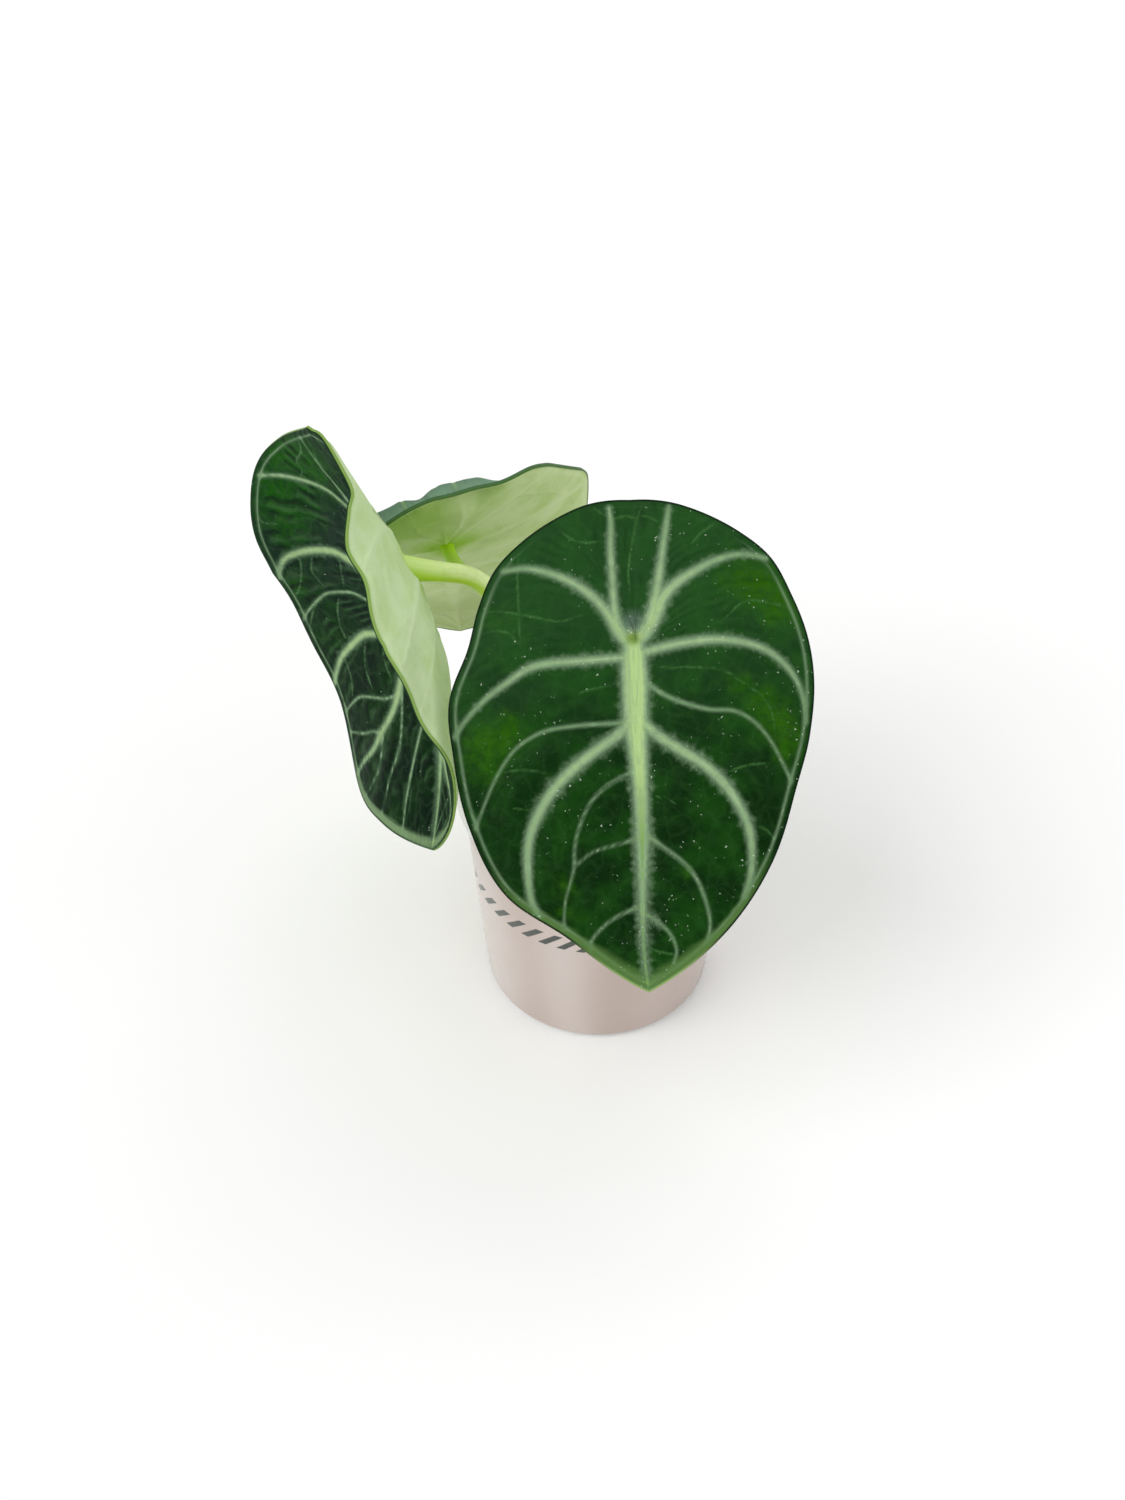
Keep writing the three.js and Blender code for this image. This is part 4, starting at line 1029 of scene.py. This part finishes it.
# A body turned round the upright axis from its profile, which runs up the outside
def turnedBody(profile, segments, wobble=None):
    a = around(segments)
    r = profile[:, :1] * np.ones((1, segments))
    z = profile[:, 1:] * np.ones((1, segments))
    if wobble:
        r, z = wobble(r, z, a[None, :])
    points = np.stack([r * np.cos(a), r * np.sin(a), z], -1).reshape(-1, 3)
    return points, gridFaces(len(profile), segments, wrap=True)


def potPaint(tree):  # white plastic, a little dusty at the foot
    place = millimetres(tree)
    cloud = grainOf(place, 0.9, 0.05)
    dust = ramp(split(place)[2], 3.5, 0.0) * ramp(cloud["Fine"], 0.35, 0.75)
    skin = layered(tint(238, 237, 235), [
        (ramp(cloud["Broad"], 0.35, 0.7), tint(228, 227, 224)),
        (dust * 0.2, tint(176, 168, 154)),
    ])
    return skin, grainOf(place, 1.6, 0.1)["Fine"] * 0.16 + 0.16, grainOf(place, 0.35, 0.1)["Fine"]


def makePot():
    inner, rim = pot["rimRadius"] - pot["lip"], pot["rimRadius"]
    profile = roundedProfile([
        [0, 0, 0], [pot["baseRadius"] - 0.2, 0, 0.9], [wallRadius(2.2), 2.2, 0.6],
        [wallRadius(3.2) - 0.25, 3, 0.3], [wallRadius(rimFoot) - 0.1, rimFoot, 0.5],
        [rim - 0.2, rimFoot, 0.8], [rim, pot["height"] - 1.6, 0.6], [rim - 0.25, pot["height"], 0.9],
        [inner, pot["height"], 0.9], [innerRadius(rimFoot), rimFoot - pot["edge"], 1.2],
        [innerRadius(pot["floor"]), pot["floor"], 1.5], [0, pot["floor"], 0],
    ])
    points, faces = turnedBody(profile, pot["segments"])
    piece = addPiece("pot_body", points, faces, ["pot"], newMaterial("potPlastic", potPaint, 0.05),
                     sharpDegrees=50)
    n = pot["holeSides"]
    a = around(n)
    corners, sides = [], []
    for turn in fullTurn * (np.arange(pot["holes"]) + 0.5) / pot["holes"]:
        x = pot["holeCircle"] * math.cos(turn) + pot["holeRadius"] * np.cos(a)
        y = pot["holeCircle"] * math.sin(turn) + pot["holeRadius"] * np.sin(a)
        first = len(corners)
        for z in (-2, 2 * pot["floor"]):
            corners += list(zip(x * mm, y * mm, np.full(n, z * mm)))
        ring = [first + j for j in range(n)]
        sides += [[j, k, k + n, j + n] for j, k in zip(ring, ring[1:] + ring[:1])]
        sides += [ring[::-1], [j + n for j in ring]]
    drills = bpy.data.meshes.new("drainHoles")
    drills.from_pydata(corners, [], sides)
    cutter = addObject("drainHoles", drills)
    cut = piece.modifiers.new("holes", "BOOLEAN")
    cut.object, cut.operation, cut.solver = cutter, "DIFFERENCE", "EXACT"
    bpy.context.view_layer.update()
    done = bpy.data.meshes.new_from_object(piece.evaluated_get(bpy.context.evaluated_depsgraph_get()))
    piece.modifiers.clear()
    piece.data = done
    bpy.data.objects.remove(cutter)


makePot()
print("pot done")

# Sleeve: a thin glossy printed band round the wall, plain but for one row of short slanted dashes
sleeve = {
    "bottom": 1.2,
    "top": 40.5,
    "gap": 0.12,
    "thickness": 0.5,
    "segments": 160,
    "dashes": 40,
    "dashHeight": 27.5,
    "dashSpan": 1.7,
    "slant": -0.95,
    "dashShare": 0.44,
}


def sleevePaint(tree):
    place = millimetres(tree)
    x, y, z = [split(place)[k] for k in range(3)]
    stretch = noise(space("MULTIPLY", place, (0.07, 0.07, 0.015)), 0.6, 1.0)
    level = z - sleeve["dashHeight"]
    turns = calc("ARCTAN2", y, x) * (1 / fullTurn)
    lean = level * (sleeve["slant"] / (2 * sleeve["dashSpan"]))
    off = calc("ABSOLUTE", calc("FRACT", turns * float(sleeve["dashes"]) + lean) - 0.5)
    ink = ramp(off, sleeve["dashShare"] / 2 + 0.03, sleeve["dashShare"] / 2 - 0.03)
    within = ramp(calc("ABSOLUTE", level), sleeve["dashSpan"] + 0.08, sleeve["dashSpan"] - 0.08)
    # the paper is darker and pinker than its own near white, with darker broad patches: a painted pinkish
    # reflection and painted shade
    paper = layered(tint(210, 199, 193), [
        (ramp(stretch, 0.3, 0.66), tint(180, 162, 153)),
        (ramp(grainOf(place, 1.2, 0.06)["Broad"], 0.4, 0.7, 0.3), tint(196, 178, 170)),
        (ink * within, tint(66, 72, 66)),
    ])
    return paper, grainOf(place, 0.7, 0.1)["Fine"] * 0.14 + 0.1, grainOf(place, 0.16, 0.1)["Fine"]


def makeSleeve():
    low, high = sleeve["bottom"], sleeve["top"]
    near, far = sleeve["gap"], sleeve["gap"] + sleeve["thickness"]
    rounded = roundedProfile([
        [wallRadius(low) + near, low, 0], [wallRadius(low) + far, low, 0.15],
        [wallRadius(high) + far, high, 0.15], [wallRadius(high) + near, high, 0],
    ])
    points, faces = turnedBody(np.concatenate([rounded, rounded[:1]]), sleeve["segments"])
    print("sleeve", len(points), "points")
    addPiece("sleeve_band", points, faces, ["pot_sleeve"],
             newMaterial("sleevePrint", sleevePaint, 0.12), sharpDegrees=50)


makeSleeve()
print("sleeve done")

# Soil: a lumpy bed in the pot, strewn with crumbs, bark chips and white perlite
soil = {
    "level": 43.5,
    "edgeDrop": 1.4,
    "lump": 0.5,
    "bottom": 2.1,
    "clear": 0.15,
    "rings": 70,
    "segments": 180,
    "keepClear": 6.2,
    "crumbs": {"count": 1500, "size": (0.25, 0.6), "stretch": (1.2, 1, 0.7), "seed": 5},
    "chips": {"count": 150, "size": (0.5, 1.2), "stretch": (1.9, 0.9, 0.45), "seed": 8},
    "perlite": {"count": 85, "size": (0.5, 1.15), "stretch": (1.1, 1, 0.85), "seed": 13},
}


def soilTop(x, y):  # level ground with long lumps, short lumps and crumbs, falling off at the wall
    lump = soil["lump"] * (np.sin(0.62 * x + 1.3 * np.sin(0.4 * y)) + np.cos(0.71 * y - 0.5 * x))
    inner = innerRadius(soil["level"])
    atWall = rise(np.hypot(x, y), inner - 4, inner)
    fine = 0.22 * waves(x, y, 3.2, 1) + 0.1 * waves(x, y, 1.1, 2)
    return soil["level"] + lump * (1 - atWall) + fine - soil["edgeDrop"] * atWall


# The bed: its side from the floor of the pot up to the ground, then rings in to the middle
def makeSoilBed(material):
    a = around(soil["segments"])
    inner = innerRadius(soil["level"]) - soil["clear"]
    foot = innerRadius(soil["bottom"]) - 1.5
    r = np.concatenate([[0.0, foot], inner * np.linspace(1, 0, soil["rings"]) ** 0.8])[:, None]
    x, y = r * np.cos(a), r * np.sin(a)
    z = soilTop(x, y)
    z[:2] = soil["bottom"]
    points = np.stack([x, y, z], -1).reshape(-1, 3)
    addPiece("soil_bed", points, gridFaces(len(r), soil["segments"], wrap=True), ["soil"], material)


# Many small lumps in one mesh: each is a coarse ball with random corners, stretched, turned and set into the
# ground by half its size
def scatter(name, kind, material):
    rng = np.random.default_rng(kind["seed"])
    count = kind["count"]
    rows, sides = 5, 7
    polar = np.linspace(0, math.pi, rows)[:, None] * np.ones((1, sides))
    azimuth = around(sides)[None, :] + 0.4 * polar
    ball = np.stack([np.sin(polar) * np.cos(azimuth), np.sin(polar) * np.sin(azimuth), np.cos(polar)], -1)
    inner = innerRadius(soil["level"]) - 0.8
    reach = np.sqrt(rng.uniform((soil["keepClear"] / inner) ** 2, 1, count)) * inner
    turn = rng.uniform(0, fullTurn, count)
    x, y = reach * np.cos(turn), reach * np.sin(turn)
    size = rng.uniform(*kind["size"], count)
    uneven = rng.uniform(0.72, 1.2, (count, rows, sides, 1))
    uneven[:, 0], uneven[:, -1] = uneven[:, :1, :1, :].mean(2), uneven[:, -1:, :1, :].mean(2)
    shape = ball * uneven * np.array(kind["stretch"])
    yaw, tilt = rng.uniform(0, fullTurn, count), rng.normal(0, 0.5, count)
    zero, one = np.zeros(count), np.ones(count)
    yawing = [np.cos(yaw), -np.sin(yaw), zero, np.sin(yaw), np.cos(yaw), zero, zero, zero, one]
    tilting = [one, zero, zero, zero, np.cos(tilt), -np.sin(tilt), zero, np.sin(tilt), np.cos(tilt)]
    spin = np.stack(yawing, -1).reshape(-1, 3, 3) @ np.stack(tilting, -1).reshape(-1, 3, 3)
    shape = np.einsum("nij,nrsj->nrsi", spin, shape) * size[:, None, None, None]
    flat = size * kind["stretch"][2]
    middle = np.stack([x, y, soilTop(x, y) + 0.25 * flat], -1)
    points = (shape + middle[:, None, None, :]).reshape(-1, 3)
    lump = gridFaces(rows, sides, wrap=True, flip=True)
    faces = (lump[None] + (np.arange(count) * rows * sides)[:, None, None]).reshape(-1, 3)
    values = {"tone": np.repeat(rng.uniform(0, 1, count), rows * sides)}
    addPiece(name, points, faces, None, material, values, sharpDegrees=40)


# Two tones, by lump or in broad patches, with a third in the fine grain
def earth(name, tones, fine, depth, rough, byLump=True):
    def paint(tree):
        grain = grainOf(millimetres(tree), fine, 0.3)
        share = read(tree, "tone") if byLump else grain["Broad"]
        colour = layered(tint(*tones[0]), [
            (ramp(share, 0.2, 0.8), tint(*tones[1])),
            (ramp(grain["Fine"], 0.4, 0.7, 0.8), tint(*tones[2])),
        ])
        return colour, grain["Fine"] * 0.2 + rough, grain["Fine"]

    return newMaterial(name, paint, depth, 0.25)


makeSoilBed(earth("peat", [(52, 38, 27), (70, 52, 37), (34, 25, 19)], 1.4, 0.6, 0.75, byLump=False))
crumb = earth("soilCrumb", [(48, 35, 25), (88, 66, 46), (36, 27, 20)], 2.0, 0.3, 0.75)
scatter("soil_crumbs", soil["crumbs"], crumb)
bark = earth("barkChip", [(96, 66, 42), (134, 94, 60), (66, 45, 30)], 1.6, 0.3, 0.7)
scatter("bark_chips", soil["chips"], bark)
perlite = earth("perliteGrain", [(232, 230, 222), (214, 210, 200), (196, 190, 178)], 2.2, 0.25, 0.8)
scatter("perlite_grains", soil["perlite"], perlite)
print("soil done")

# Crown: the short swollen stem that the stalks rise from, wrapped in the dry remains of older leaf bases
crown = {"radius": 7.2, "taper": 2.6, "bottom": 33, "top": 47.5, "wraps": 5, "segments": 160}


def makeCrown():
    r, t, low, top = crown["radius"], crown["taper"], crown["bottom"], crown["top"]
    profile = roundedProfile([
        [0, low, 0], [r - t, low, 1], [r, low + 2 * t, 3], [r, top - 1.5 * t, 2.4],
        [r - 0.35 * t, top - 0.5 * t, 1.2], [r - t, top, 1.4], [0, top + 0.3 * t, 0],
    ], steps=14)

    def wrapped(radius, z, a):  # each wrap is a low step that climbs round the stem
        climb = (z - low) / (top - low) * crown["wraps"] + a / fullTurn * 2
        step = climb - np.floor(climb)
        near = np.minimum(1, radius / 3)
        lobes = 0.35 * np.cos(3 * (a - math.radians(45)))
        return radius + near * (0.45 * step * rise(1 - step, 0, 0.12) + lobes - 0.3), z + 0 * a

    points, faces = turnedBody(profile, crown["segments"], wrapped)
    tones = [(120, 130, 74), (150, 138, 96), (104, 84, 56)]
    addPiece("crown_stem", points, faces, ["crown"],
             earth("crownSheath", tones, 0.9, 0.25, 0.5, byLump=False))


makeCrown()
print("crown done")

# Floor, light and camera
stage = {
    "floorSize": 40.0,
    "world": 0.6,
    "worldSeen": 0.98,
    "lights": [  # where each comes from, its power per square metre, and the angle that it fills in degrees
        {"name": "keyLight", "place": (-0.75, -0.55, 1.04), "power": 1.25, "angle": 42},
        {"name": "fillLight", "place": (0.9, -0.6, 0.64), "power": 0.45, "angle": 60},
        {"name": "backLight", "place": (0.1, 0.9, 0.94), "power": 0.5, "angle": 50},
    ],
    "cameraPlace": (-0.00627, -0.30501, 0.36304),
    "cameraPitch": 45.5,
    "lens": 62.4,
}


def floorPaint(tree):
    cloud = noise(millimetres(tree), 0.01, 1.0)
    return layered(tint(253, 253, 253), [(cloud, tint(250, 250, 250))]), 0.8, None


def makeStage():
    half = stage["floorSize"] / 2
    mesh = bpy.data.meshes.new("floor")
    corners = [(-half, -half, 0), (half, -half, 0), (half, half, 0), (-half, half, 0)]
    mesh.from_pydata(corners, [], [(0, 1, 2, 3)])
    mesh.materials.append(newMaterial("paleFloor", floorPaint, specular=0.1))
    addObject("floor", mesh)
    world = bpy.data.worlds.new("paleWorld")
    world.use_nodes = True
    seen = put(world.node_tree, "ShaderNodeLightPath", {}, "Is Camera Ray")
    strength = mixValue(seen, stage["world"], stage["worldSeen"])
    fill(world.node_tree.nodes["Background"], {"Color": (1, 1, 1, 1), "Strength": strength})
    bpy.context.scene.world = world
    for entry in stage["lights"]:
        data = bpy.data.lights.new(entry["name"], "SUN")
        data.energy, data.angle = entry["power"], math.radians(entry["angle"])
        lamp = addObject(entry["name"], data)
        lamp.location = entry["place"]
        x, y, z = unit(entry["place"])
        lamp.rotation_euler = (math.acos(z), 0, math.atan2(x, -y))
    lens = bpy.data.cameras.new("photoCamera")
    lens.lens, lens.sensor_width, lens.clip_start = stage["lens"], 36, 0.01
    camera = addObject("photoCamera", lens)
    camera.location = stage["cameraPlace"]
    camera.rotation_euler = (math.radians(90 - stage["cameraPitch"]), 0, 0)
    bpy.context.scene.camera = camera
    bpy.context.scene.view_settings.view_transform = "Standard"


makeStage()
print("stage done")

bpy.context.view_layer.update()
